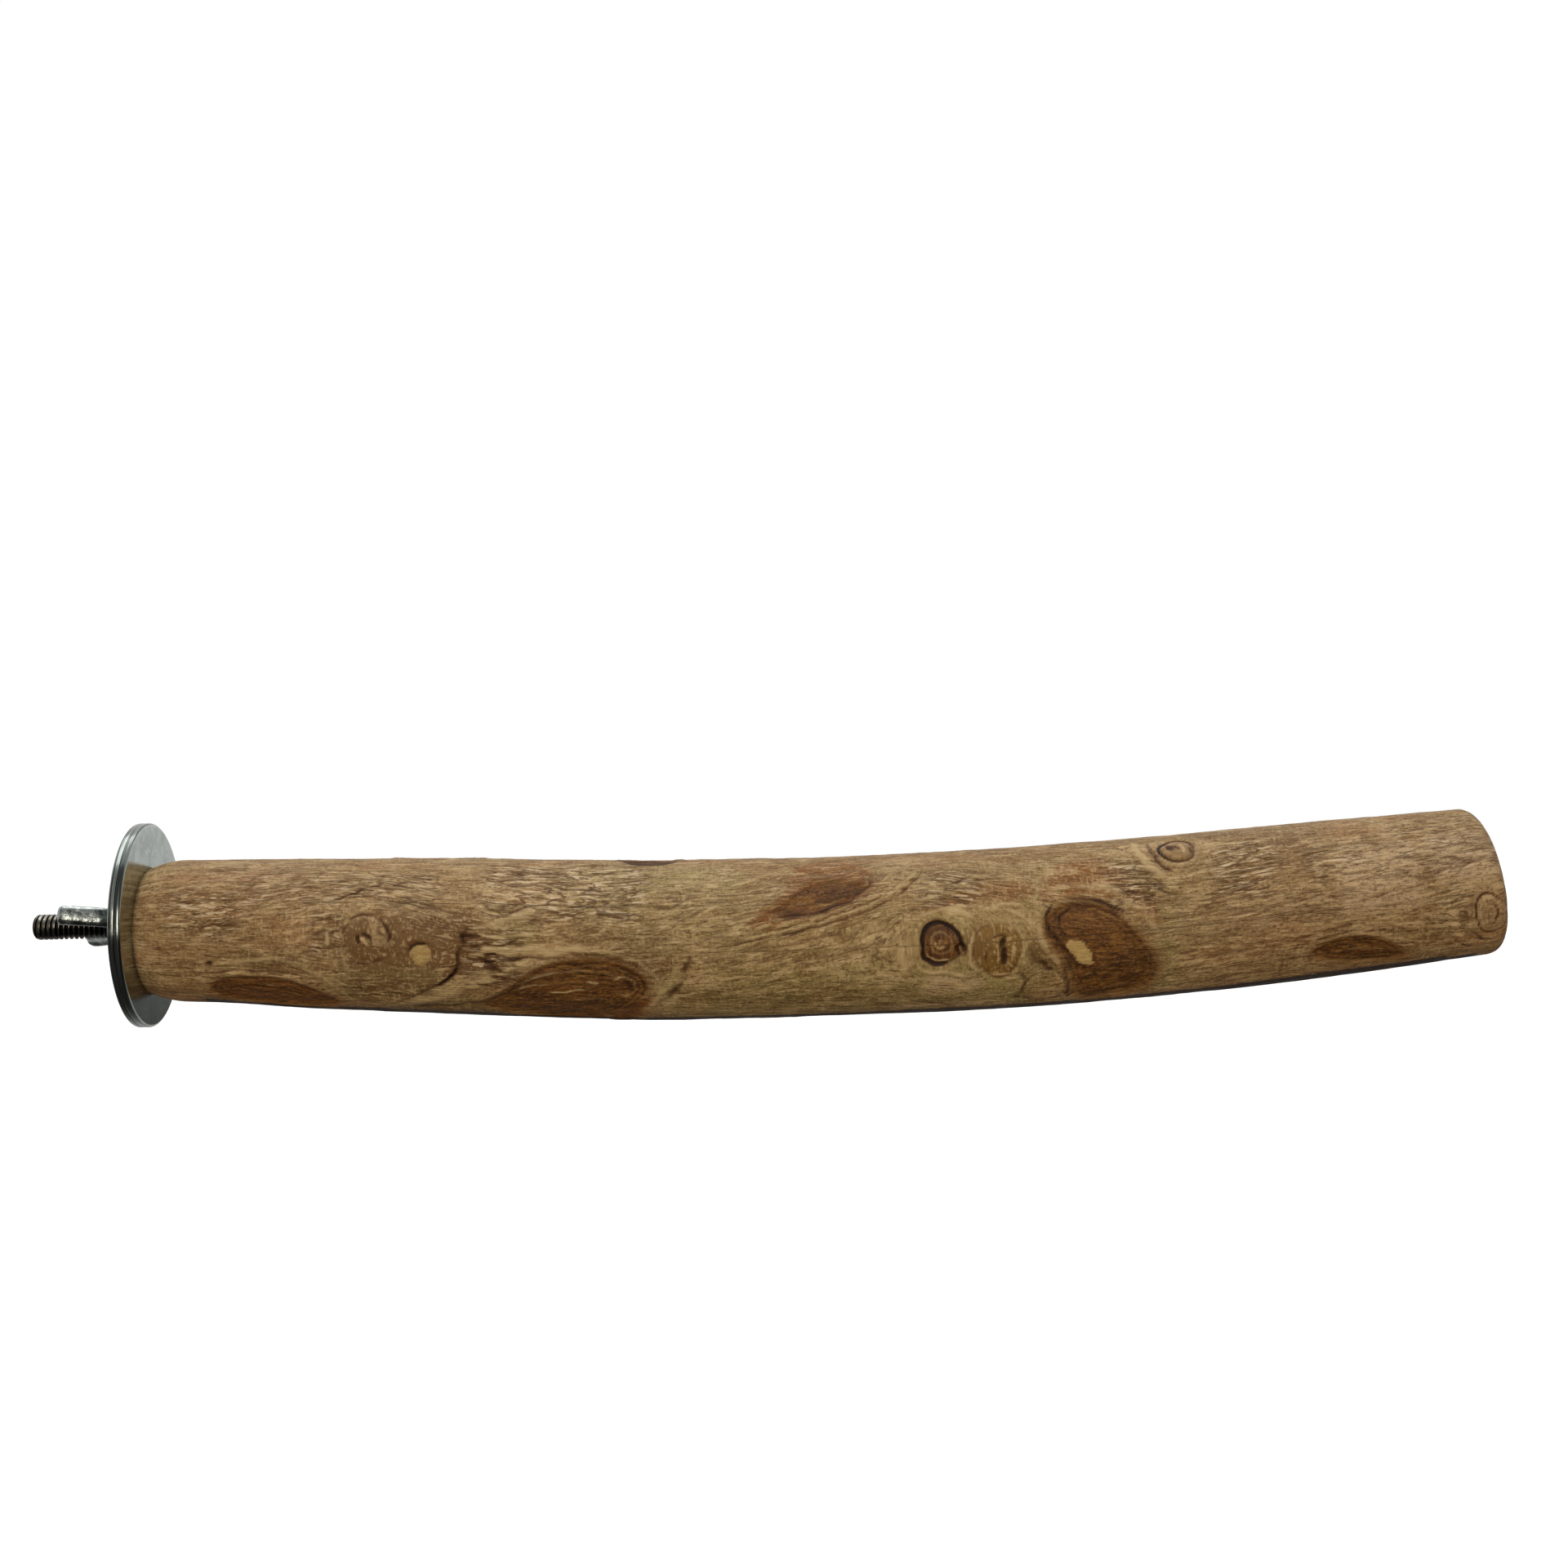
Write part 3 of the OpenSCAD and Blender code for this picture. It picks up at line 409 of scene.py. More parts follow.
pale_lens = [(216.2, -12.4), (218.6, -10.2), (222.4, -9.8), (224.8, -12.4), (225.2, -16),
             (223.6, -19.6), (219.4, -20.6), (215.8, -18.6), (215.2, -15.4)]


def smooth_step(low, high, value):
    """0 below low, 1 above high, and a smooth ramp between them."""
    u = np.clip((value - low) / (high - low), 0, 1)
    return u * u * (3 - 2 * u)


def bell(distance, width):
    """1 at nought, falling off as the square of the distance over the width."""
    return np.exp(-(distance / width) ** 2)


def round_difference(a, b):
    """The shorter way round the branch from b to a, on the skin laid out flat."""
    return (a - b + half_round) % (2 * half_round) - half_round


def table_curve(t, table, column):
    """Cubic through a column of a table, whose slope at a row is that of its neighbours' line."""
    places, values = table[:, 0], table[:, column]
    before = np.maximum(np.arange(len(places)) - 1, 0)
    after = np.minimum(np.arange(len(places)) + 1, len(places) - 1)
    slopes = (values[after] - values[before]) / (places[after] - places[before])
    row = np.clip(np.searchsorted(places, t) - 1, 0, len(places) - 2)
    width = places[row + 1] - places[row]
    u = (t - places[row]) / width
    return (values[row] * (1 + 2 * u) * (1 - u) ** 2 + slopes[row] * width * u * (1 - u) ** 2
            + values[row + 1] * u ** 2 * (3 - 2 * u) + slopes[row + 1] * width * u ** 2 * (u - 1))


def wood_noise(s, w, long, wide, seed):
    """Smooth noise from -1 to 1: random values at the corners of cells long by wide millimetres,
    blended across each cell, with a whole number of cells round the branch."""
    around = max(int(round(2 * half_round / wide)), 3)
    u, v = (s + 40) / long, (w + half_round) / (2 * half_round) * around
    values = np.random.default_rng(seed).uniform(-1, 1, (int(u.max()) + 3, around))
    i, j = np.floor(u).astype(int), np.floor(v).astype(int)
    fu, fv = u - i, v - j
    fu, fv = fu * fu * (3 - 2 * fu), fv * fv * (3 - 2 * fv)
    j, after = j % around, (j + 1) % around
    low = values[i, j] * (1 - fv) + values[i, after] * fv
    high = values[i + 1, j] * (1 - fv) + values[i + 1, after] * fv
    return low * (1 - fu) + high * fu


def line_offset(s, w, points):
    """How far each place lies from a chain of straight lines, and how far along the chain."""
    points = np.array(points, float)
    starts, steps = points[:-1], np.diff(points, axis=0)
    lengths = np.hypot(steps[:, 0], steps[:, 1])
    begun = np.concatenate([[0], np.cumsum(lengths)])
    nearest, along = np.full(s.shape, 1e9), np.zeros(s.shape)
    for (s0, w0), (ds, dw), size, done in zip(starts, steps, lengths, begun):
        u = np.clip(((s - s0) * ds + (w - w0) * dw) / size ** 2, 0, 1)
        distance = np.hypot(s - s0 - u * ds, w - w0 - u * dw)
        closer = distance < nearest
        nearest = np.where(closer, distance, nearest)
        along = np.where(closer, (done + u * size) / begun[-1], along)
    return nearest, along


def rounded_outline(points, cuts=3):
    """Cuts each corner of a closed outline at a quarter of its sides, a few times over."""
    points = np.array(points, float)
    for _ in range(cuts):
        after = np.roll(points, -1, axis=0)
        points = np.stack([0.75 * points + 0.25 * after, 0.25 * points + 0.75 * after], 1)
        points = points.reshape(-1, 2)
    return points


outline_reach = 12.0                    # a place farther outside an outline counts as this far out
cover_reach = 4.0                       # most that a place lies in or out of a hollow's soft edge


def depth_inside(s, w, points, reach=outline_reach):
    """How far each place lies inside a closed outline, in millimetres; outside is negative."""
    points = rounded_outline(points)
    found = np.full(s.shape, -reach)
    near = ((s > points[:, 0].min() - reach) & (s < points[:, 0].max() + reach)
            & (w > points[:, 1].min() - reach) & (w < points[:, 1].max() + reach))
    x, y = s[near], w[near]
    closed = np.vstack([points, points[:1]])
    distance, _ = line_offset(x, y, closed)
    x0, y0, x1, y1 = closed[:-1, 0], closed[:-1, 1], closed[1:, 0], closed[1:, 1]
    crossing = (y0 > y[:, None]) != (y1 > y[:, None])
    meets = x0 + (y[:, None] - y0) * (x1 - x0) / np.where(y1 == y0, 1e-9, y1 - y0)
    inside = (crossing & (x[:, None] < meets)).sum(1) % 2 == 1
    found[near] = np.maximum(np.where(inside, distance, -distance), -reach)
    return found


def area_weight(s, w, areas):
    """The strongest of several soft-edged areas at each place."""
    weight = np.zeros(s.shape)
    for s0, s1, w0, w1, blur, strength in areas:
        inside = (smooth_step(s0 - blur, s0 + blur, s) * smooth_step(-s1 - blur, -s1 + blur, -s)
                  * smooth_step(w0 - blur, w0 + blur, w) * smooth_step(-w1 - blur, -w1 + blur, -w))
        weight = np.maximum(weight, inside * strength)
    return weight


def spaced(stops):
    """Places from the first stop to the last: (from, to, step) stretches, each evenly spaced."""
    parts = [np.linspace(a, b, max(int(round((b - a) / step)), 1), endpoint=False)
             for a, b, step in stops]
    return np.concatenate(parts + [[stops[-1][1]]])


def surface(name, points, first_pole=None, last_pole=None, closed_rows=False, values=None):
    """Joins a grid of points (rows, places round, xyz in millimetres) by four-sided faces that
    wrap round each row. A pole closes an end by a fan. Faces point away from the row's centre
    when the places turn by the left hand about the direction in which the rows go."""
    rows, places = points.shape[:2]
    row = np.arange(rows if closed_rows else rows - 1)[:, None]
    place = np.arange(places)[None, :]
    after_row, after = (row + 1) % rows, (place + 1) % places
    faces = np.stack([row * places + place, row * places + after,
                      after_row * places + after, after_row * places + place], -1)
    faces = faces.reshape(-1, 4).tolist()
    corners = points.reshape(-1, 3).tolist()
    place, after = np.arange(places), (np.arange(places) + 1) % places
    if first_pole is not None:
        pole = np.full(places, len(corners))
        faces += np.stack([after, place, pole], 1).tolist()
        corners.append(list(first_pole))
    if last_pole is not None:
        pole, start = np.full(places, len(corners)), (rows - 1) * places
        faces += np.stack([start + place, start + after, pole], 1).tolist()
        corners.append(list(last_pole))
    mesh = bpy.data.meshes.new(name)
    mesh.from_pydata((np.array(corners) * MM).tolist(), [], faces)
    mesh.polygons.foreach_set("use_smooth", np.ones(len(faces), bool))
    for label, data in (values or {}).items():
        data = data.reshape(rows * places, 3)
        ends = [data[:places].mean(0)] * (first_pole is not None)
        ends += [data[-places:].mean(0)] * (last_pole is not None)
        attribute = mesh.attributes.new(label, "FLOAT_VECTOR", "POINT")
        attribute.data.foreach_set("vector", np.vstack([data] + ends).astype(np.float32).ravel())
    mesh.update()
    piece = bpy.data.objects.new(name, mesh)
    bpy.context.scene.collection.objects.link(piece)
    return piece


def turned(x, r, turn):
    """Points x along the bolt's axis and r from it, turned from the front by way of the top."""
    return np.stack([x, -r * np.cos(turn), r * np.sin(turn)], -1)


def skin_height(s, w, knot_mask, grain_w):
    """How far the worn surface stands off the plain branch, in millimetres: broad waves, lifted
    fibres, sunken bark hollows with contour ridges, and lines; with the fields of its colours."""
    rough = area_weight(s, w, rough_areas)
    away = smooth_step(27, 36, np.abs(w))
    rough = np.maximum(rough, away * smooth_step(0.1, 0.6, wood_noise(s, w, 30, 16, 11)) * 0.8)
    quiet = 1 - 0.7 * knot_mask
    height = 0.15 * wood_noise(s, w, 42, 21, 1) + 0.10 * wood_noise(s, w, 15, 9, 2)
    fibre = (0.55 * wood_noise(s, grain_w, 9, 1.5, 3) + 0.3 * wood_noise(s, grain_w, 4, 1.0, 4)
             + 0.35 * wood_noise(s, grain_w, 16, 2.6, 5))
    fine = quiet * 0.10 * fibre
    scale = 1 - 2 * np.abs(wood_noise(s + 0.8 * grain_w, grain_w, 4.4, 1.5, 6))
    fine = fine + quiet * (0.25 + 0.75 * rough) * (
        0.15 * scale + 0.09 * wood_noise(s, grain_w, 2.6, 0.9, 7))
    depth = np.full(s.shape, -outline_reach)
    cover = np.full(s.shape, -cover_reach)
    red, dark, contour = np.zeros(s.shape), np.zeros(s.shape), np.zeros(s.shape)
    for outline, redness, darkness, top_edge, low_edge, ringed in hollows:
        inside = depth_inside(s, w, outline)
        middle = np.mean([point[1] for point in outline])
        edge = low_edge + (top_edge - low_edge) * smooth_step(-3, 3, w - middle)
        covered = smooth_step(-1, 1, inside / edge)
        red = red * (1 - covered) + redness * covered
        dark = dark * (1 - covered) + darkness * covered
        contour = np.where(inside > depth, ringed, contour)
        cover = np.maximum(cover, np.clip(inside / edge, -cover_reach, cover_reach))
        depth = np.maximum(depth, inside)
    wavy = depth + 0.35 * wood_noise(s, w, 7, 4, 8) + 0.12 * wood_noise(s, grain_w, 4, 1.5, 9)
    height += -0.42 * smooth_step(-0.6, 1.8, wavy) + 0.24 * bell(wavy + 1.2, 1.1)
    height += 0.08 * np.cos(2 * np.pi * wavy / 1.5) * bell(wavy - 1.0, 3.4)
    tone, raised = np.zeros(s.shape), np.zeros(s.shape)
    shifted_s = s + 0.5 * wood_noise(s, w, 5, 3, 21) + 0.25 * wood_noise(s, w, 2, 1.4, 22)
    shifted_w = w + 0.4 * wood_noise(s, w, 5, 3, 23) + 0.2 * wood_noise(s, w, 2, 1.4, 24)
    for points, rise, pale, half_width in lines:
        offset, along = line_offset(shifted_s, shifted_w, points)
        broken = 0.8 + 0.35 * wood_noise(s, w, 3, 2, 12)
        taper = np.clip(np.minimum(along, 1 - along) * 5 + 0.35, 0, 1) * broken
        raised += 1.5 * rise * taper * bell(offset, half_width * 1.3)
        tone += pale * taper * bell(offset, half_width)
    strokes = raised.copy()
    places = np.array(lip)
    offset, along = line_offset(shifted_s, shifted_w, places[:, :2])
    beyond = smooth_step(-1.0, 1.0, s - np.interp(w, places[:, 1], places[:, 0]))
    fading = smooth_step(0, 0.12, along)
    raised += fading * (0.70 * (1 - beyond) - 0.20) * bell(offset, 3.6)
    raised += -0.35 * fading * bell(offset, 0.6)
    ragged = 0.75 + 0.5 * wood_noise(s, w, 1.6, 1.3, 14)
    tone += -np.interp(w, places[:, 1], places[:, 2]) * ragged * bell(offset, 0.55)
    # painted shade: a soft dark band just below the lip's step
    tone += -0.35 * fading * bell(offset - 0.6, 1.0) * beyond
    flake = depth_inside(s, w, torn_flake) + 0.5 * wood_noise(s, w, 1.6, 1.2, 13)
    height += 0.28 * smooth_step(-0.2, 0.5, flake)
    for outline, strength in red_patches:
        inside = depth_inside(s, w, outline) + wood_noise(s, w, 5, 2.5, 15)
        red = np.maximum(red, strength * smooth_step(-2, 2.4, inside))
    lens = depth_inside(s, w, pale_lens)
    red = np.maximum(red, 0.4 * smooth_step(-0.3, 0.6, lens))
    height += 0.18 * smooth_step(-0.5, 1.2, lens) - 0.14 * bell(lens, 0.4)
    tone += -0.7 * bell(lens + 0.2, 0.35)
    return (height + raised, strokes, fine, depth, cover, contour, red, dark, tone, rough, flake,
            lens)


def knot_fields(s, w):
    """Ring radius, ring strength, brown and pale wood of the nearest knot, the rise of its dome
    and groove, the groove's shade, which is deepest at the upper left, how much the knot keeps
    the straight grain away, and how far it bends the fibres."""
    radius, best = np.full(s.shape, 40.0), np.full(s.shape, -1e9)
    rings, brown, pale = np.zeros(s.shape), np.zeros(s.shape), np.zeros(s.shape)
    rise, mask, bend = np.zeros(s.shape), np.zeros(s.shape), np.zeros(s.shape)
    shade = np.zeros(s.shape)
    for place, turn, size, longer, dome, groove, darkened, ringed, browned, paled in knots:
        ds, dw = (s - place) / longer, round_difference(w, turn)
        around = np.arctan2(dw, ds)
        lumpy = (1 + 0.08 * np.sin(2 * around + place) + 0.06 * np.sin(3 * around + turn)
                 + 0.015 * np.sin(5 * around + 2 * turn))
        r = np.hypot(ds, dw) * lumpy
        here = np.exp(-(r / (size * 1.9)) ** 4)
        nearer = -r / size > best
        best = np.where(nearer, -r / size, best)
        radius = np.where(nearer, r, radius)
        rings = np.where(nearer, ringed * np.exp(-(r / (size * 1.6)) ** 4), rings)
        inside = smooth_step(-0.25, 0.35, size - r)
        brown, pale = np.maximum(brown, inside * browned), pale + inside * paled
        rise += dome * bell(r, size * 0.9) - groove * bell(r - size, 0.42)
        rise += 0.16 * bell(r - size * 1.45, size * 0.28)
        shade -= darkened * (0.72 + 0.28 * np.cos(around - 2.5)) * bell(r - size, 0.36)
        mask = np.maximum(mask, here)
        flat = np.hypot((s - place) / 1.7, dw)
        bend += (-0.75 * dw * (1 - bell(r, size)) * (1.25 * size) ** 2
                 / (flat ** 2 + (1.25 * size) ** 2))
    return radius, rings, brown, pale, rise, shade, mask, bend


# The rows are close together at the knots, and the places round each row at the front
body_rows = spaced([
    (0, 9, 0.9), (9, 50, 1.2), (50, 96, 0.5), (96, 127, 0.75), (127, 150, 1.3), (150, 188, 0.85),
    (188, 215, 0.48), (215, 236, 0.62), (236, 248, 0.95), (248, 260, 0.55), (260, 318, 1.3),
    (318, 328.6, 0.6)])
front_places, back_places = 158, 50
angles = np.radians(spaced([(-100, 100, 200 / front_places), (100, 260, 160 / back_places)])[:-1])
round_steps = np.arange(1, 9) / 8
round_rows = branch_length - cut_round + cut_round * np.sin(round_steps * np.pi / 2)
rows = np.concatenate([body_rows, round_rows])
s, angle = np.meshgrid(rows, angles, indexing="ij")
w = round_difference(angle * skin_radius, 0.0)
radius, rings, brown, pale, rise, shade, knot_mask, bend = knot_fields(s, w)
climb = np.interp(s, [p[0] for p in ridge_grain], [p[1] for p in ridge_grain])
bend += 1.3 * wood_noise(s, w, 45, 18, 31) + 0.5 * wood_noise(s, w, 14, 8, 32)
grain_w = round_difference(w + bend - climb * bell(w - climb, 22), 0.0)
(height, strokes, fine, depth, cover, contour, red, dark, tone, rough, flake,
 lens) = skin_height(s, w, knot_mask, grain_w)

t = s / branch_length
degrees = np.degrees(angle)
r = branch_diameter / 2 * table_curve(t, branch_shares, 3) * (
    1 + oval * np.cos(np.radians(2 * degrees + oval_turn * t))
    + trefoil * np.cos(np.radians(3 * degrees + trefoil_turn * t)))
fade = np.clip(np.minimum(s / seat_ease_length, (branch_length - s) / seat_ease_length), 0, 1)
for place, turn, wide, high in swelling_shares:
    across = branch_diameter / 2 * np.radians((degrees - turn + 540) % 360 - 180)
    reach = wide * branch_diameter
    r += fade * knot_height * high * np.exp(
        -2 * (across ** 2 + (s - place * branch_length) ** 2 / 2) / reach ** 2)
r -= seat_ease * np.clip(1 - s / seat_ease_length, 0, None) ** 2
beyond = np.clip(s - branch_length + cut_round, 0, cut_round)
r -= cut_round - np.sqrt(np.maximum(cut_round ** 2 - beyond ** 2, 0))
# The relief rises from nothing at the seat to its whole height 3 mm on, and falls to 0.6 of it
# at the sawn end. Without its fibres it stands 0.85 mm proud at most in front, and 0.45 mm on
# the far side.
worn = np.clip(np.minimum(s / 3.0, (branch_length + 3.0 - s) / 5.0), 0, 1)
most = 0.45 + 0.40 * smooth_step(-28, -22, -np.abs(w))
r += worn * (np.minimum(height + rise, most) + fine - 0.12)


def branch_point(s, angle, r):
    """A point at angle round the branch (0 is the front, a quarter turn is the top) and r from
    its middle line; near the cut end it leans back towards the top."""
    t = s / branch_length
    up = r * np.sin(angle)
    lean = smooth_step(lean_from, 1.0, t)
    return np.stack([
        seat_x + s - up * math.tan(cut_lean) * lean,
        branch_sway * table_curve(t, branch_shares, 2) - r * np.cos(angle),
        up - branch_bow * table_curve(t, branch_shares, 1)], -1)


skin = branch_point(s, angle, r)
# The sawn end: from its rim to the pith, with saw marks and three drying cracks
share = np.linspace(1, 0, 18)[1:-1, None]
end_angle = np.broadcast_to(angles, (len(share), len(angles)))
end_r = share * r[-1]
end_s = np.full(end_r.shape, branch_length)
pith_s, pith_w = 1.6, -1.1
end_face = branch_point(end_s, end_angle, end_r)
ring_radius = np.hypot(end_r * np.cos(end_angle) - pith_s, end_r * np.sin(end_angle) - pith_w)
crack_depth = np.zeros(end_r.shape)
for crack_turn, crack_long in ((0.7, 11.0), (2.9, 8.0), (4.6, 13.0)):
    off = np.abs(np.angle(np.exp(1j * (end_angle - crack_turn - 0.05 * np.sin(end_r))))) * end_r
    crack_depth = np.maximum(crack_depth, bell(off, 0.45) * smooth_step(-crack_long, -2, -end_r))
saw = 0.03 * np.sin(end_face[..., 1] * 2.1 + 0.5 * np.sin(end_face[..., 2] * 0.8))
end_face[..., 0] -= 0.45 * crack_depth + 0.03 + saw
# The seat, flat but for the drilled hole: hole's end, wall, lip and face out to the rim
seat_rows = []
for x, radius_here in ((bore_depth, bore_radius), (20.0, bore_radius), (8.0, bore_radius),
                       (1.2, bore_radius), (0.25, bore_radius + 0.02), (0.0, bore_lip)):
    seat_rows.append(turned(np.full(angles.shape, seat_x + x), radius_here, angles))
for part in (0.25, 0.5, 0.75):
    seat_rows.append(seat_rows[5] * (1 - part) + skin[0] * part)
seat = np.stack(seat_rows)

points = np.concatenate([seat, skin, end_face])
count_before, count_after = len(seat), len(end_face)


def field(body, before, after):
    """Stacks one value's rows for the seat, the skin and the sawn end."""
    spread = [np.broadcast_to(np.asarray(v, float), (n, len(angles)))
              for v, n in ((before, count_before), (after, count_after))]
    return np.concatenate([spread[0], body, spread[1]])


grain_turn = grain_w / skin_radius
wood_values = {
    "grain": np.stack([field(s, 0, end_s + 6 * (1 - share)),
                       field(20 * np.cos(grain_turn), seat[..., 1], end_face[..., 1]),
                       field(20 * np.sin(grain_turn), seat[..., 2], end_face[..., 2])], -1),
    "marks": np.stack([field(depth, -outline_reach, -outline_reach),
                       field(tone + shade, 0, -1.6 * crack_depth),
                       field(rough - 1.3 * knot_mask * (1 - rough), 0, 0)], -1),
    "bark": np.stack([field(cover, -cover_reach, -cover_reach), field(contour, 0, 0),
                      field(dark, 0, 0)], -1),
    # tint: olive, red, and pale less brown, where the brown holds the underside's painted shade
    "tint": np.stack([field(area_weight(s, w, olive_areas), 0, 0),
                      field(np.maximum(area_weight(s, w, red_areas), red), 0, 0),
                      field(np.maximum(area_weight(s, w, pale_areas),
                                       0.05 * smooth_step(-0.2, 0.3, lens))
                            - area_weight(s, w, brown_and_underside_shade_areas), 0.25, 0.2)], -1),
    "knot": np.stack([field(radius, 9, ring_radius), field(rings, 0, 0.55),
                      field(brown, 0, 0)], -1),
    # chip: pale chips, the relief whose painted highlight and shade the colour takes, and the sawn
    # end
    "chip": np.stack([field(pale + smooth_step(-0.1, 0.3, flake), 0, 0),
                      field(0.5 * fine + 0.6 * np.minimum(strokes, 0.8), 0, 0),
                      field(0 * s, 1, 1)], -1),
}
bore_end = (seat_x + bore_depth + 0.4, 0.0, 0.0)
end_middle = branch_point(np.array(branch_length), np.array(0.0), np.array(0.0)) - (0.06, 0, 0)
branch = surface("branch_wood", points, bore_end, end_middle, values=wood_values)


def linear(code):
    """An sRGB hex colour as the linear colour that a shader takes."""
    parts = [int(code[i:i + 2], 16) / 255 for i in (1, 3, 5)]
    return [c / 12.92 if c <= 0.04045 else ((c + 0.055) / 1.055) ** 2.4 for c in parts] + [1.0]


def add_node(tree, kind, inputs=(), out=0, stops=(), **settings):
    """Adds a shader node with its settings, fills or links its inputs (a string is a colour),
    sets a ramp's stops, and gives back the output asked for, or all of them for None."""
    node = tree.nodes.new("ShaderNode" + kind)
    for key, value in settings.items():
        setattr(node, key, value)
    for key, value in dict(inputs).items():
        if isinstance(value, bpy.types.NodeSocket):
            tree.links.new(value, node.inputs[key])
        else:
            node.inputs[key].default_value = linear(value) if isinstance(value, str) else value
    for index, (place, code) in enumerate(stops):
        elements = node.color_ramp.elements
        element = elements[index] if index < 2 else elements.new(place)
        element.position, element.color = place, linear(code)
    return node.outputs if out is None else node.outputs[out]


def layered(tree, colour, layers):
    """Lays colours over one another: each has its most weight, and is weighed by the smooth ramp
    of one or more values, from nothing at the first number to all at the second."""
    for code, most, *ramps in layers:
        weight = most
        for value, none_at, all_at in ramps:
            ramp = add_node(tree, "MapRange", {0: value, 1: none_at, 2: all_at},
                            interpolation_type="SMOOTHSTEP")
            weight = add_node(tree, "Math", {0: ramp, 1: weight}, operation="MULTIPLY")
        colour = add_node(tree, "Mix", {0: weight, 6: colour, 7: code}, 2, data_type="RGBA")
    return colour


def new_material(name, **principled):
    """A material with one principled shader, whose plain values are set on its own sockets."""
    made = bpy.data.materials.new(name)
    made.use_nodes = True
    shader = made.node_tree.nodes["Principled BSDF"]
    for key, value in principled.items():
        shader.inputs[key.replace("_", " ")].default_value = value
    return made, made.node_tree, shader


# Debarked hardwood, sanded but not varnished: tan with brown and olive clouds, long fine fibres,
# short pores and lifted strands, brown where inner bark is left, nearly black in the cracks;
# dull all over, with a faint sheen where hands and the sander have closed the fibres. The colour
# also holds painted shade along the underside, below the lip, in grooves and creases and beside
# torn fibres, and painted highlight on ridges and raised relief.
wood, tree, shader = new_material("hardwood_debarked_sanded", Specular_IOR_Level=0.22)
parted = {}
for name in wood_values:
    vector = add_node(tree, "Attribute", out=1, attribute_name=name)
    parted[name] = [vector] + list(add_node(tree, "SeparateXYZ", {0: vector}, None))
_, depth_v, tone_v, rough_v = parted["marks"]
_, cover_v, contour_v, dark_v = parted["bark"]
_, olive_v, red_v, pale_brown_and_shade_v = parted["tint"]
_, ring_v, ringed_v, brown_v = parted["knot"]
_, chip_v, relief_light_and_shade_v, cap_v = parted["chip"]

# Each noise has its cells to the millimetre along and across the grain, its detail, how rough
# the detail is, and how far it is bent
noise = {}
for name, (along, across, detail, roughness, bent) in {
        "fibres": (0.055, 1.15, 5.0, 0.62, 0.3),        # streaks 18 mm by 0.9 mm
        "clouds": (0.022, 0.075, 3.0, 0.5, 0.6),        # 45 mm by 13 mm
        "flush": (0.035, 0.11, 2.0, 0.5, 0.4),          # 28 mm by 9 mm
        "blotch": (0.12, 0.26, 3.0, 0.6, 0.8),          # 8 mm by 4 mm
        "strands": (0.17, 1.35, 3.0, 0.62, 0.8),        # lifted strands 6 mm by 0.75 mm
        "creases": (0.10, 0.55, 2.5, 0.55, 0.6),        # 10 mm by 2 mm, for the lines between them
        "dashes": (0.24, 1.45, 3.0, 0.6, 0.5),          # torn fibres 4 mm by 0.7 mm
        "pores": (0.42, 2.4, 2.0, 0.6, 0.0),            # 2.4 mm by 0.4 mm
        "ticks": (1.5, 0.24, 2.0, 0.5, 0.5),            # marks of the peeler, across the grain
        "speckle": (1.30, 1.6, 2.0, 0.7, 0.0),          # sanded fuzz, 0.6 mm
        }.items():
    moved = add_node(tree, "Mapping", {0: parted["grain"][0], 3: (along, across, across)})
    noise[name] = add_node(tree, "TexNoise", {
        "Vector": moved, "Scale": 1.0, "Detail": detail, "Roughness": roughness,
        "Distortion": bent})

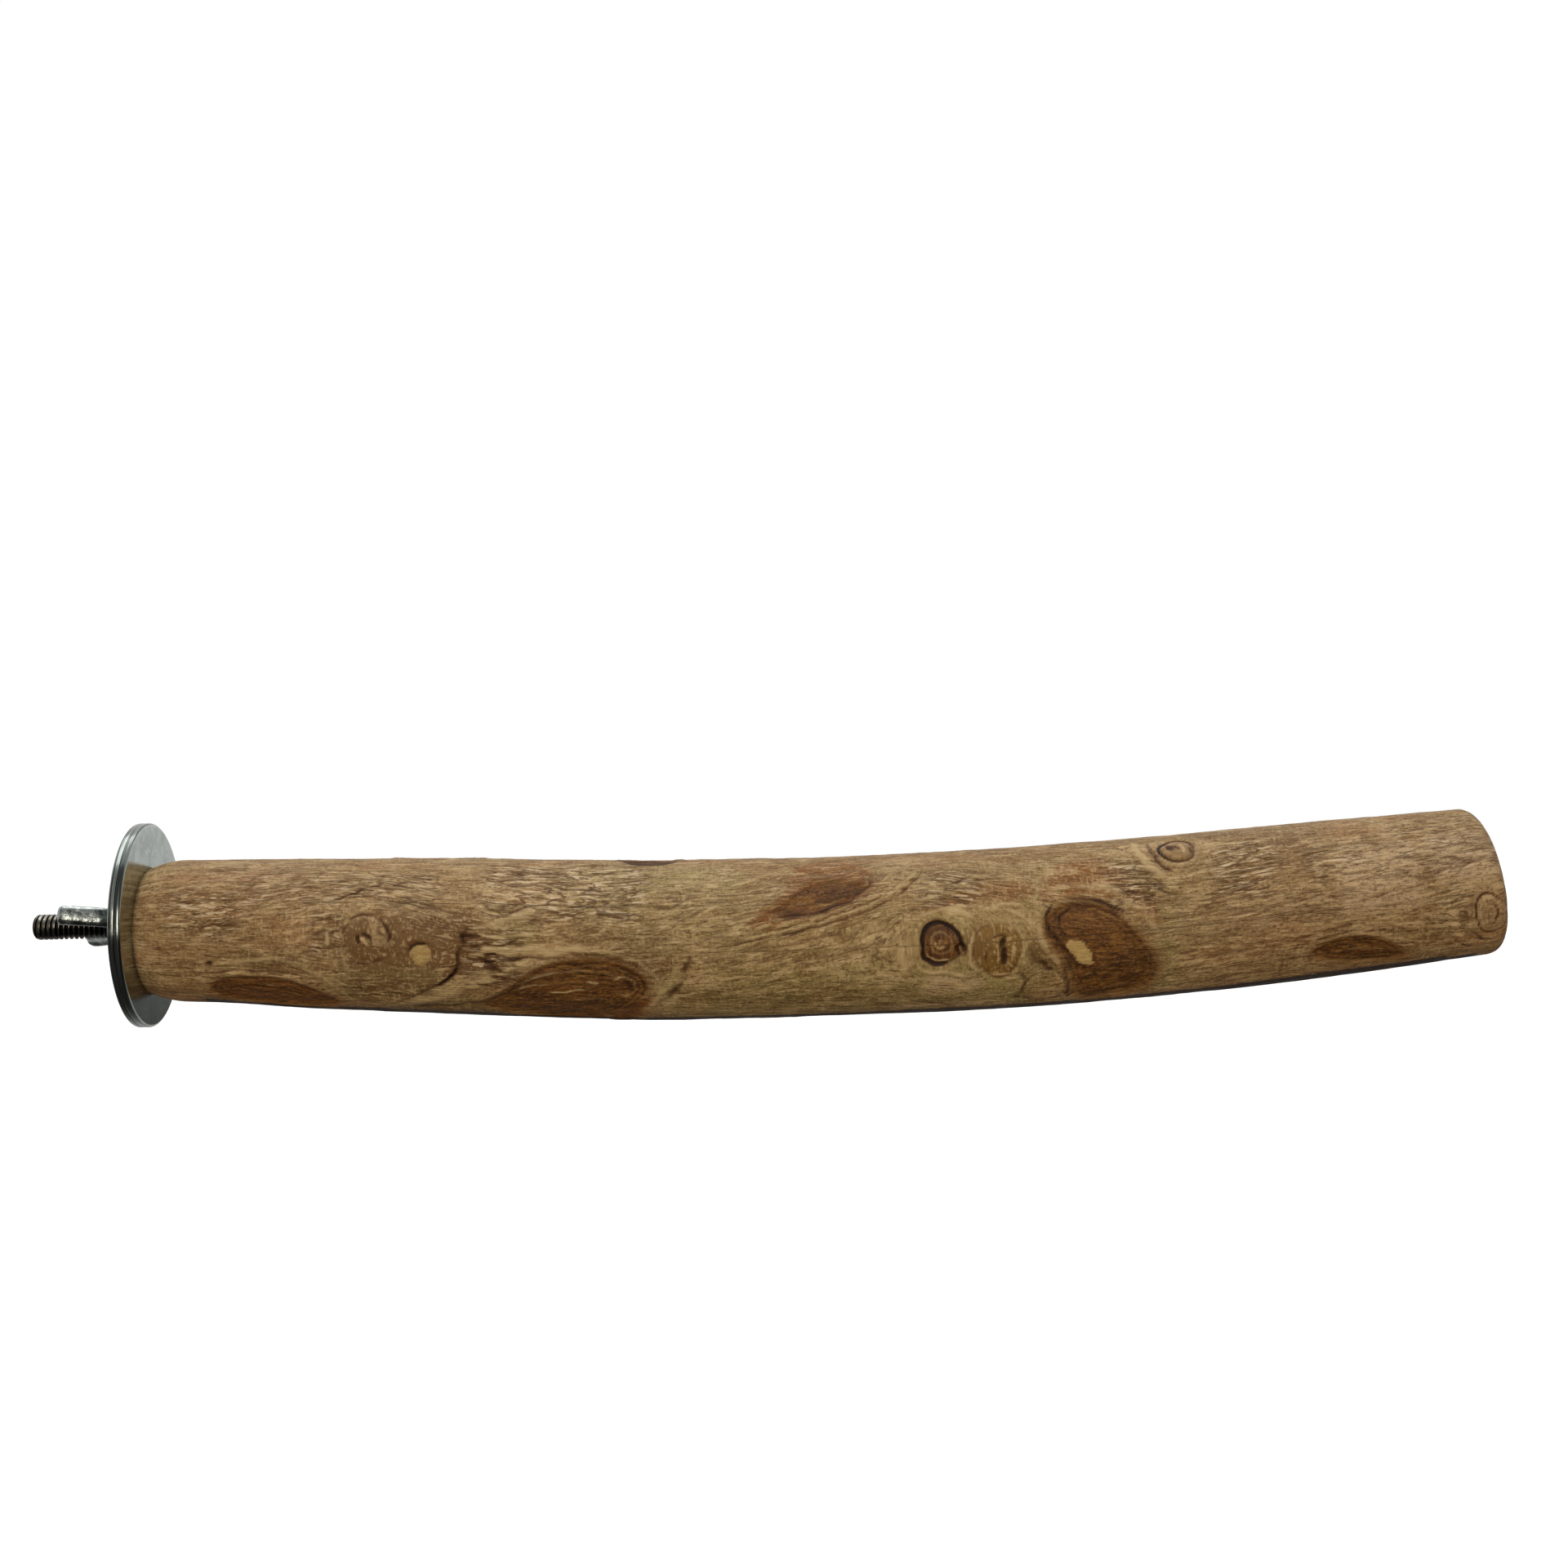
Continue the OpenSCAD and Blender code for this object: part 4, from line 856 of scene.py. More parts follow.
off_knots = (rough_v, -0.9, -0.1)       # all but the knots, where the roughness is below nought
torn = (rough_v, 0.0, 0.9)              # the torn and lifted fibres
crease = add_node(tree, "Math", {0: add_node(tree, "Math", {
    0: noise["creases"], 1: 0.5}, operation="SUBTRACT")}, operation="ABSOLUTE")
colour = add_node(tree, "ValToRGB", {0: noise["fibres"]}, stops=[
    (0.34, "#92744A"), (0.67, "#C9AB7B"), (0.44, "#A6885C"), (0.55, "#B6986A")])
colour = layered(tree, colour, [
    ("#99764A", 0.60, (noise["clouds"], 0.46, 0.60)),
    ("#B2855C", 0.55, (noise["flush"], 0.50, 0.64)),
    ("#9F935E", 0.80, (olive_v, 0.0, 1.0)),
    ("#8E5824", 0.85, (red_v, 0.0, 1.0)),
    ("#D9BD99", 0.85, (pale_brown_and_shade_v, 0.0, 1.0)),
    # brown areas, and the painted shade along the underside
    ("#6A4E2D", 0.82, (pale_brown_and_shade_v, 0.0, -1.0)),
    ("#84632A", 0.95, (chip_v, 0.0, -1.0)),
    ("#7C5C34", 0.52, (noise["blotch"], 0.52, 0.64)),
    ("#D2B788", 0.50, (noise["blotch"], 0.46, 0.35)),
    ("#70532F", 0.62, (noise["speckle"], 0.53, 0.65)),
    ("#D2B88A", 0.55, (noise["speckle"], 0.46, 0.33)),
    ("#DCC294", 0.58, (noise["strands"], 0.54, 0.65), off_knots),
    ("#644524", 0.58, (noise["strands"], 0.45, 0.36), off_knots),
    ("#553C1F", 0.62, (noise["pores"], 0.56, 0.67), off_knots),
    ("#D0B888", 0.35, (noise["ticks"], 0.57, 0.68), (noise["clouds"], 0.58, 0.44), off_knots),
    ("#E6D0AA", 0.85, (noise["dashes"], 0.52, 0.61), torn),
    # dark dashes beside the torn fibres, partly their painted shade
    ("#634726", 0.60, (noise["dashes"], 0.45, 0.37), torn),
    # dark in the creases between torn fibres, partly painted shade
    ("#56391B", 0.75, (crease, 0.045, 0.010), (rough_v, -0.3, 0.8)),
    ("#8A6238", 0.40, (cover_v, -3.5, 0.2), (depth_v, -4.0, 0.0)),
    # painted shade: nearly black along the underside's edge
    ("#2E1C0C", 0.92, (pale_brown_and_shade_v, -0.95, -1.6)),
])

# Inner bark in the hollows: dark contour lines at the rim, brown and streaked further in
bark = add_node(tree, "ValToRGB", {0: noise["strands"]}, stops=[
    (0.34, "#66431B"), (0.68, "#946A35"), (0.45, "#764E24"), (0.55, "#84592A")])
bent_depth = add_node(tree, "Math", {0: noise["blotch"], 1: 1.8, 2: depth_v},
                      operation="MULTIPLY_ADD")
contours = add_node(tree, "Math", {0: add_node(tree, "Math", {0: bent_depth, 1: 4.5},
                                               operation="MULTIPLY")}, operation="SINE")
bark = layered(tree, bark, [
    ("#96582A", 0.40, (red_v, 0.0, 1.0)),
    ("#4C2E10", 0.62, (dark_v, 0.0, 1.0)),
    ("#9C6E34", 0.55, (noise["blotch"], 0.51, 0.62)),
    ("#3C230C", 0.52, (noise["blotch"], 0.47, 0.36)),
    ("#9C7238", 0.60, (noise["speckle"], 0.52, 0.64)),
    ("#241306", 0.55, (noise["speckle"], 0.46, 0.34)),
    ("#A8824A", 0.30, (noise["strands"], 0.56, 0.66)),
    ("#201005", 0.60, (noise["pores"], 0.55, 0.66)),
    # dark in the creases, partly painted shade
    ("#24130A", 0.42, (crease, 0.05, 0.012)),
    ("#201005", 0.90, (contours, 0.2, 0.9), (contour_v, 0.0, 1.0), (depth_v, 4.6, 1.6)),
    ("#A87F48", 0.38, (contours, -0.4, -0.95), (contour_v, 0.0, 1.0), (depth_v, 4.6, 1.6)),
])
ragged = add_node(tree, "Math", {0: noise["fibres"], 1: 1.2, 2: cover_v}, operation="MULTIPLY_ADD")
covered = add_node(tree, "MapRange", {0: ragged, 1: 0.0, 2: 1.3, 4: 0.95},
                   interpolation_type="SMOOTHSTEP")
colour = add_node(tree, "Mix", {0: covered, 6: colour, 7: bark}, 2, data_type="RGBA")

# Knots: annual rings bent by the fibres, brown dead wood, pale fresh cuts; and the sawn end
bent_ring = add_node(tree, "Math", {0: noise["blotch"], 1: 5.0, 2: add_node(
    tree, "Math", {0: ring_v, 1: 3.3}, operation="MULTIPLY")}, operation="MULTIPLY_ADD")
ring_wave = add_node(tree, "Math", {0: bent_ring}, operation="SINE")
dead_wood = (brown_v, 0.0, 1.0)
ring_lines = (ringed_v, 0.0, 0.8)
sawn_end = (cap_v, 0.0, 1.0)
colour = layered(tree, colour, [
    ("#64401E", 1.0, dead_wood),
    ("#A0703A", 0.75, dead_wood, (noise["speckle"], 0.49, 0.63)),
    ("#2A180D", 0.6, dead_wood, (noise["speckle"], 0.47, 0.36)),
    ("#5A3E20", 0.80, (ring_wave, 0.1, 0.9), ring_lines),
    ("#C6AA7A", 0.50, (ring_wave, -0.3, -0.95), ring_lines),
    ("#C2A468", 1.0, (chip_v, 0.0, 1.0)),
    ("#D6BE80", 0.7, (chip_v, 0.0, 1.0), (noise["dashes"], 0.45, 0.62)),
    ("#BC9B69", 0.9, sawn_end),
    ("#8F6E42", 0.6, sawn_end, (ring_wave, -0.4, 0.9)),
    # lines: pale where fibres stand up and as painted highlight on ridges, brown to black where the
    # wood has parted and as painted shade in grooves, under the lip and in the knots' grooves
    ("#D2B988", 0.80, (tone_v, 0.10, 0.9)),
    ("#54341A", 0.85, (tone_v, -0.12, -0.9)),
    ("#1C0F07", 0.97, (tone_v, -0.85, -1.5)),
    # painted highlight on raised relief and painted shade where it sinks
    ("#D2B98A", 0.55, (relief_light_and_shade_v, 0.05, 0.32)),
    ("#4C331B", 0.60, (relief_light_and_shade_v, -0.04, -0.30)),
])
tree.links.new(colour, shader.inputs["Base Color"])

height_of = 0.0
for value, amount in ((noise["fibres"], 0.10), (noise["strands"], 0.20), (noise["pores"], -0.08),
                      (noise["blotch"], 0.36), (noise["speckle"], 0.09), (noise["ticks"], 0.03)):
    height_of = add_node(tree, "Math", {0: value, 1: amount, 2: height_of},
                         operation="MULTIPLY_ADD")
sunk = add_node(tree, "MapRange", {0: crease, 1: 0.0, 2: 0.06}, interpolation_type="SMOOTHSTEP")
for value, amount, weight in ((noise["dashes"], 0.42, rough_v), (ring_wave, -0.05, ringed_v),
                              (contours, -0.05, contour_v), (sunk, 0.10, rough_v)):
    weight = add_node(tree, "Math", {0: weight, 1: 0.0}, operation="MAXIMUM")
    weight = add_node(tree, "Math", {0: weight, 1: amount}, operation="MULTIPLY")
    height_of = add_node(tree, "Math", {0: value, 1: weight, 2: height_of},
                         operation="MULTIPLY_ADD")
bump = add_node(tree, "Bump", {"Strength": 1.0, "Distance": 2.0 * MM, "Height": height_of})
tree.links.new(bump, shader.inputs["Normal"])
dull = add_node(tree, "Math", {0: noise["fibres"], 1: 0.24, 2: 0.50}, operation="MULTIPLY_ADD")
tree.links.new(dull, shader.inputs["Roughness"])
branch.data.materials.append(wood)
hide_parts("branch")
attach(branch, "perch")


# ---------------------------------------------------------------------------------------------
# Hanger bolt: a headless steel bolt, rolled, with a machine thread outside, a plain shank at the
# branch's face and a coarse wood thread inside the branch. The free end is domed, and its last
# turns are worn blunt.
bolt_radius = 3.175
bolt_tip, bolt_root = seat_x - 29.4, seat_x + 34.0
pitch, wood_pitch = 1.27, 2.54
thread_depth = 0.775
shank_from, shank_to = -0.2, 5.8
blunt_length = 7.6
shank_radius = bolt_radius - 0.39
crest_share, blunt_share = 0.125, 0.5   # a crest's width as a share of the pitch, cut and worn
flank_slope = math.sqrt(3)              # both threads' flanks stand at 60 degrees to the axis
tip_round, tip_radius = 1.5, 1.75       # the free end's dome: its length and least radius
tip_flat_share, tip_bevel = 0.55, 0.12
lag_from, lag_neck = shank_to + 0.2, 2.78
lag_radius, lag_depth, lag_crest_share = 2.95, 0.85, 0.08
lag_taper = 8.0                         # length of the wood thread's point
thread_steps, lag_steps = 20, 16        # rows to a turn
shank_rows = 8
bolt_places = 96
turn = np.linspace(0, 2 * math.pi, bolt_places, endpoint=False)


def thread_radius(x, turn, pitch, outer, depth, crest, flank_slope):
    """Radius of a right-hand thread: the crest, a share of the pitch wide, is at outer; beyond
    it the flank falls by flank_slope to the root, depth below."""
    phase = (x / pitch - turn / (2 * math.pi)) % 1.0
    off = np.abs(phase - 0.5) * pitch - crest * pitch / 2
    fall = np.clip(off, 0, None) * flank_slope
    return outer - np.minimum(fall, depth) * smooth_step(0, 1, fall / depth + 0.35)


machine_x = np.arange(bolt_tip, shank_from, pitch / thread_steps)
x_m, turn_m = np.meshgrid(machine_x, turn, indexing="ij")
blunt = 1 - smooth_step(bolt_tip + blunt_length * 0.6, bolt_tip + blunt_length, x_m)
crest = crest_share + (blunt_share - crest_share) * blunt
machine_r = thread_radius(x_m, turn_m, pitch, bolt_radius, thread_depth * (1 - 0.4 * blunt), crest,
                          flank_slope)
into = (x_m - bolt_tip) / tip_round
rounded = np.sqrt(np.clip(1 - (1 - np.clip(into, 0, 1)) ** 2, 0, 1))
dome = tip_radius + (bolt_radius + 0.02 - tip_radius) * rounded
machine_r = np.minimum(machine_r, dome)
fade_in = smooth_step(shank_from - 0.9, shank_from, x_m)
machine_r = machine_r * (1 - fade_in) + shank_radius * fade_in
shank_x = np.linspace(shank_from, shank_to, shank_rows)
lag_x = np.arange(lag_from, bolt_root - 0.3, wood_pitch / lag_steps)
x_l, turn_l = np.meshgrid(lag_x, turn, indexing="ij")
lag_outer = lag_radius * np.clip((bolt_root + 1.2 - x_l) / lag_taper, 0, 1) ** 0.6
lag_r = thread_radius(x_l, turn_l, wood_pitch, lag_outer,
                      lag_depth * np.minimum(lag_outer / lag_radius, 1), lag_crest_share,
                      flank_slope)
fade_in = 1 - smooth_step(lag_from, shank_to + 2.0, x_l)
lag_r = lag_r * (1 - fade_in) + lag_neck * fade_in
shank_grid = (shank_rows, bolt_places)
bolt_x = np.concatenate([x_m, np.broadcast_to(shank_x[:, None], shank_grid), x_l])
bolt_r = np.concatenate([machine_r, np.full(shank_grid, shank_radius), lag_r])
bolt_points = turned(bolt_x, bolt_r, np.broadcast_to(turn, bolt_x.shape))
tip_ring = bolt_points[:1].copy()
tip_ring[..., 1:] *= tip_flat_share
bolt_points[0, :, 0] += tip_bevel
bolt_points = np.concatenate([tip_ring, bolt_points])
bolt = surface("hanger_bolt_steel", bolt_points, (bolt_tip, 0, 0), (bolt_root - 0.02, 0, 0))

# Zinc-plated steel, rolled thread: bright crests rubbed by the nut, and brown-black below them,
# painted shade down the flanks and into the roots.
plated, tree, shader = new_material("steel_zinc_plated_rolled", Metallic=1.0)
place = add_node(tree, "TexCoord", out=None)["Object"]
across = add_node(tree, "Mapping", {0: place, 3: (0.0, 1 / MM, 1 / MM)})
from_axis = add_node(tree, "VectorMath", {0: across}, "Value", operation="LENGTH")
grime = add_node(tree, "TexNoise", {"Vector": place, "Scale": 1 / (1.6 * MM), "Detail": 3.0})
steel = layered(tree, add_node(tree, "RGB"), [
    ("#6C675C", 1.0), ("#A9A79E", 0.8, (grime, 0.46, 0.66)),
    # painted shade: brown-black from just below the crests down into the roots
    ("#1C1611", 0.96, (from_axis, 3.17, 2.98))])
tree.links.new(steel, shader.inputs["Base Color"])
dull = add_node(tree, "MapRange", {0: from_axis, 1: 3.16, 2: 2.90, 3: 0.22, 4: 0.45})
tree.links.new(dull, shader.inputs["Roughness"])
bump = add_node(tree, "Bump", {"Strength": 0.5, "Distance": 0.05 * MM, "Height": grime})
tree.links.new(bump, shader.inputs["Normal"])
bolt.data.materials.append(plated)
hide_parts("hanger_bolt")
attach(bolt, "perch")


# ---------------------------------------------------------------------------------------------
# Fender washers: two discs stamped from sheet steel and zinc plated bright. The die rolls over
# one edge and leaves the other crisp, and the plate shows the marks of tumbling.
washer_radius, washer_thickness, washer_bore = 25.4, 1.6, 3.555
washer_places = 224
face_rows = 22
bore_gap, rim_gap = 0.6, 0.15           # from the bore and from the rim's round to a face's rows
set_back = 0.01                         # so that two washers pressed together don't share a face


def spun(r, x, places):
    """A profile, as distances from the bolt's axis and places along it, turned about the axis."""
    turn = np.linspace(0, 2 * math.pi, places, endpoint=False)
    r, x, turn = np.broadcast_arrays(r[:, None], x[:, None], turn[None, :])
    return turned(x, r, turn)


def washer(name, body, near_x, rolled_side):
    """A profile turned about the bolt: bore wall, face, rim and face, closed on itself. The
    rolled side's edge has a large round, the other a small one."""
    def corner(radius_c, x_c, size, start):
        a = np.radians(np.linspace(start, start + 90, 7))
        return np.stack([radius_c + size * np.cos(a), x_c + size * np.sin(a)], 1)

    low, high = near_x + set_back, near_x + washer_thickness - set_back
    big, small, eased = 0.62, 0.22, 0.12
    low_round, high_round = (big, small) if rolled_side < 0 else (small, big)
    profile = np.concatenate([
        [[washer_bore, high - eased], [washer_bore, low + eased], [washer_bore + eased, low]],
        np.stack([np.linspace(washer_bore + bore_gap, washer_radius - low_round - rim_gap,
                              face_rows), np.full(face_rows, low)], 1),
        corner(washer_radius - low_round, low + low_round, low_round, -90),
        corner(washer_radius - high_round, high - high_round, high_round, 0),
        np.stack([np.linspace(washer_radius - high_round - rim_gap, washer_bore + bore_gap,
                              face_rows), np.full(face_rows, high)], 1),
        [[washer_bore + eased, high]],
    ])
    disc = spun(profile[:, 0], profile[:, 1], washer_places)
    piece = surface(name, disc, closed_rows=True)
    piece.data.materials.append(bright_zinc)
    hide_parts(body)
    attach(piece, body)


# Bright zinc on stamped steel: a soft mirror, greenish grey, with faint tumbling marks and a
# gentle waviness that bends reflections.
bright_zinc, tree, shader = new_material("steel_stamped_bright_zinc", Metallic=1.0)
place = add_node(tree, "TexCoord", out=None)["Object"]
noise = {name: add_node(tree, "TexNoise", {"Vector": place, "Scale": 1 / (size * MM),
                                           "Detail": detail})
         for name, size, detail in (("cloud", 6.0, 4.0), ("pits", 0.55, 2.0), ("wave", 11.0, 1.0),
                                    ("scuffs", 1.6, 3.0))}
across = add_node(tree, "Mapping", {0: place, 3: (0.0, 1 / MM, 1 / MM)})
from_axis = add_node(tree, "VectorMath", {0: across}, "Value", operation="LENGTH")
along_rim = add_node(tree, "Mapping", {0: place, 3: (2.2 / MM, 0.03 / MM, 0.03 / MM)})
sheared = add_node(tree, "TexNoise", {"Vector": along_rim, "Scale": 1.0, "Detail": 2.0})
zinc = layered(tree, add_node(tree, "RGB"), [
    ("#B2B9B3", 1.0), ("#9CA49D", 0.8, (noise["cloud"], 0.42, 0.60)),
    ("#7F827A", 0.45, (noise["pits"], 0.58, 0.72)),
    ("#CDD1CE", 0.5, (noise["scuffs"], 0.56, 0.66)),
    ("#8A8F89", 0.8, (from_axis, 24.9, 25.3)),
    ("#2E312E", 0.85, (from_axis, 24.9, 25.3), (sheared, 0.48, 0.58))])
tree.links.new(zinc, shader.inputs["Base Color"])
dull = add_node(tree, "Math", {0: noise["cloud"], 1: 0.16, 2: 0.10}, operation="MULTIPLY_ADD")
tree.links.new(dull, shader.inputs["Roughness"])
fine_pits = add_node(tree, "Math", {0: noise["pits"], 1: 0.05}, operation="MULTIPLY")
uneven = add_node(tree, "Math", {0: noise["wave"], 1: 1.0, 2: fine_pits}, operation="MULTIPLY_ADD")
bump = add_node(tree, "Bump", {"Strength": 0.35, "Distance": 0.4 * MM, "Height": uneven})
tree.links.new(bump, shader.inputs["Normal"])
washer("inner_washer_zinc", "inner_washer", 0.0, 1)
washer("outer_washer_zinc", "outer_washer", -washer_thickness, -1)


# ---------------------------------------------------------------------------------------------
# Wing nut: cast zinc alloy, tumbled and plated. A coned boss with a tapped hole carries two
# wings, each a thin web with a thick rounded outer edge for the thumb.
nut_seat = -washer_thickness
boss_base, boss_top, boss_height, boss_foot = 6.5, 5.2, 7.0, 1.6
nut_bore = 3.255
wing_span, wing_height, wing_edge, wing_web = 28.4, 16.8, 5.8, 3.4
wing_turn = math.radians(17)
wing_root, wing_foot = 4.2, 2.1
boss_places, wing_places = 96, 56


def placed_on_bolt(out, across, high, side):
    """Carries a point given as distance from the bolt's axis, sideways place and height above
    the nut's seat to the perch's frame, on the near wing's side (1) or the far wing's (-1)."""
    y, z = -side * out, side * across
    cos, sin = math.cos(wing_turn), math.sin(wing_turn)
    return np.stack([nut_seat - high, y * cos + z * sin, -y * sin + z * cos], -1)


def wing_shell(side):
    """Rows go up the wing, places round its section: a web that swells into a round bead at the
    outer edge. The outer edge leans out from foot to tip, and the tip is rounded over."""
    up = np.concatenate([[0.0, 0.012, 0.035], np.linspace(0.07, 0.93, 34), [0.965, 0.988, 1.0]])
    high = wing_foot + (wing_height - wing_foot) * up
    inner = np.where(high < boss_height + 0.6, wing_root,
                     wing_root + 1.0 + 0.9 * smooth_step(boss_height, wing_height, high))
    # how much of the half span the outer edge reaches, from foot to tip
    lean = np.interp(up, [0, 0.12, 0.3, 0.8, 1.0], [0.47, 0.60, 0.735, 0.955, 0.985])
    outer = wing_span / 2 * lean
    squeeze = np.sqrt(np.clip(1 - np.clip((up - 0.86) / 0.14, 0, 1) ** 2.2, 0, 1))
    squeeze *= np.sqrt(np.clip(1 - np.clip((0.06 - up) / 0.06, 0, 1) ** 2, 0.02, 1))
    middle = (inner + outer) / 2 + 0.9 * (1 - squeeze)
    inner = middle + (inner - middle) * np.maximum(squeeze, 0.05)
    outer = middle + (outer - middle) * np.maximum(squeeze, 0.05)
    a = np.linspace(0, 2 * math.pi, wing_places, endpoint=False)
    share = (1 + np.cos(a)) / 2                                    # 1 at the outer edge
    width = (wing_web + (wing_edge - wing_web) * smooth_step(0.45, 0.9, share)) / 2
    section = np.sign(np.sin(a)) * np.abs(np.sin(a)) ** 0.55 * width
    out = inner[:, None] + (outer - inner)[:, None] * share[None, :]
    across = section[None, :] * (0.55 + 0.45 * squeeze)[:, None]
    grid = placed_on_bolt(out, across, np.broadcast_to(high[:, None], out.shape), side)
    ends = [grid[0].mean(0), grid[-1].mean(0)]
    return grid, ends


def boss_ring():
    """A profile turned about the bolt: chamfered tapped hole, coned outside with soft edges."""
    profile = np.array([
        [nut_bore, 0.7], [nut_bore + 0.55, 0.05], [nut_bore + 1.2, 0.0], [boss_base - 0.5, 0.0],
        [boss_base - 0.12, 0.12], [boss_base, 0.5], [boss_base - 0.02, boss_foot],
        [boss_base - 0.35, boss_foot + 0.5], [(boss_base + boss_top) / 2, 4.2],
        [boss_top + 0.1, boss_height - 0.6], [boss_top - 0.2, boss_height - 0.1],
        [boss_top - 0.6, boss_height], [nut_bore + 0.6, boss_height], [nut_bore, 6.4]])
    return spun(profile[:, 0], nut_seat - profile[:, 1], boss_places)


parts = [surface("boss", boss_ring(), closed_rows=True)]
for side in (1, -1):
    grid, ends = wing_shell(side)
    parts.append(surface("wing", grid, *ends))
for part in parts:
    part.select_set(True)
bpy.context.view_layer.objects.active = parts[0]
with bpy.context.temp_override(active_object=parts[0], object=parts[0],
                               selected_editable_objects=parts, selected_objects=parts):
    bpy.ops.object.join()
nut = parts[0]
nut.name = "wing_nut_cast"
nut.data.name = "wing_nut_cast"
remesh = nut.modifiers.new("fused", "REMESH")
remesh.mode, remesh.voxel_size, remesh.use_smooth_shade = "VOXEL", 0.24 * MM, True
soften = nut.modifiers.new("tumbled", "SMOOTH")
soften.factor, soften.iterations = 0.5, 6

# Cast zinc alloy under bright plate: mottled grey-green and silver, pitted skin of the casting,
# smooth where it was tumbled.
cast, tree, shader = new_material("zinc_alloy_cast_plated", Metallic=1.0)
place = add_node(tree, "TexCoord", out=None)["Object"]
mottle = add_node(tree, "TexNoise", {"Vector": place, "Scale": 1 / (1.8 * MM), "Detail": 4.0,
                                     "Roughness": 0.65})
skin_noise = add_node(tree, "TexNoise", {"Vector": place, "Scale": 1 / (4.5 * MM), "Detail": 2.0})
alloy = layered(tree, add_node(tree, "RGB"), [
    ("#979D98", 1.0), ("#4A4E4C", 0.85, (mottle, 0.47, 0.36)),
    ("#DADEDB", 0.8, (mottle, 0.52, 0.64)), ("#5A5E58", 0.6, (skin_noise, 0.53, 0.66))])
tree.links.new(alloy, shader.inputs["Base Color"])
dull = add_node(tree, "Math", {0: mottle, 1: 0.30, 2: 0.10}, operation="MULTIPLY_ADD")
tree.links.new(dull, shader.inputs["Roughness"])
lumps = add_node(tree, "Math", {0: mottle, 1: 0.45}, operation="MULTIPLY")
uneven = add_node(tree, "Math", {0: skin_noise, 1: 1.2, 2: lumps}, operation="MULTIPLY_ADD")
bump = add_node(tree, "Bump", {"Strength": 0.7, "Distance": 0.4 * MM, "Height": uneven})
tree.links.new(bump, shader.inputs["Normal"])
nut.data.materials.clear()
nut.data.materials.append(cast)
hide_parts("wing_nut")
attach(nut, "wing_nut")


# ---------------------------------------------------------------------------------------------
# Studio: a plain pale floor well below the perch, which hangs from its bolt, one wide soft lamp
# overhead and a weak one beside the camera. The background is white; metal sees it too, but to
# metal the floor is painted shade nearby and a painted glow far off and to the rear, and what the
# floor throws back on the wood is low and warm.
floor_z = -0.30
bpy.ops.mesh.primitive_plane_add(size=16, location=(0.16, 0, floor_z))
floor = bpy.context.object
floor.name = "floor"
floor_paint, tree, shader = new_material("floor_matt_paint", Roughness=0.9)
rays = add_node(tree, "LightPath", out=None)
# pale to the camera, warm brown in the light it throws back, and near black in reflections, a
# painted shade for the metal
ground = layered(tree, add_node(tree, "RGB"), [
    ("#CFCFCF", 1.0), ("#7A6446", 1.0, (rays["Is Diffuse Ray"], 0.0, 1.0)),
    ("#14130F", 1.0, (rays["Is Glossy Ray"], 0.0, 1.0))])
tree.links.new(ground, shader.inputs["Base Color"])
place = add_node(tree, "TexCoord", out=None)["Object"]
away = add_node(tree, "VectorMath", {0: place}, "Value", operation="LENGTH")
seen = add_node(tree, "MapRange", {0: away, 1: 0.3, 2: 1.0, 3: 0.80, 4: 1.0})
side = add_node(tree, "SeparateXYZ", {0: place}, 1)
# a painted glow in reflections, far off and nearer to the rear
far = add_node(tree, "MapRange", {0: away, 1: 2.8, 2: 7.6, 3: 0.02, 4: 0.68},
               interpolation_type="SMOOTHSTEP")
under = add_node(tree, "MapRange", {0: away, 1: 2.2, 2: 0.9, 3: 0.0, 4: 0.45},
                 interpolation_type="SMOOTHSTEP")
rear = add_node(tree, "MapRange", {0: side, 1: 0.0, 2: 0.4}, interpolation_type="SMOOTHSTEP")
mirrored = add_node(tree, "Math", {0: under, 1: rear, 2: far}, operation="MULTIPLY_ADD")
seen = add_node(tree, "Math", {0: seen, 1: rays["Is Camera Ray"]}, operation="MULTIPLY")
bounced = add_node(tree, "Math", {0: rays["Is Glossy Ray"], 1: rays["Is Transmission Ray"]},
                   operation="MAXIMUM")
glow = add_node(tree, "Math", {0: mirrored, 1: bounced, 2: seen}, operation="MULTIPLY_ADD")
glow = add_node(tree, "Emission", {"Strength": glow})
both = add_node(tree, "AddShader", {0: shader.outputs[0], 1: glow})
tree.links.new(both, tree.nodes["Material Output"].inputs["Surface"])
floor.data.materials.append(floor_paint)

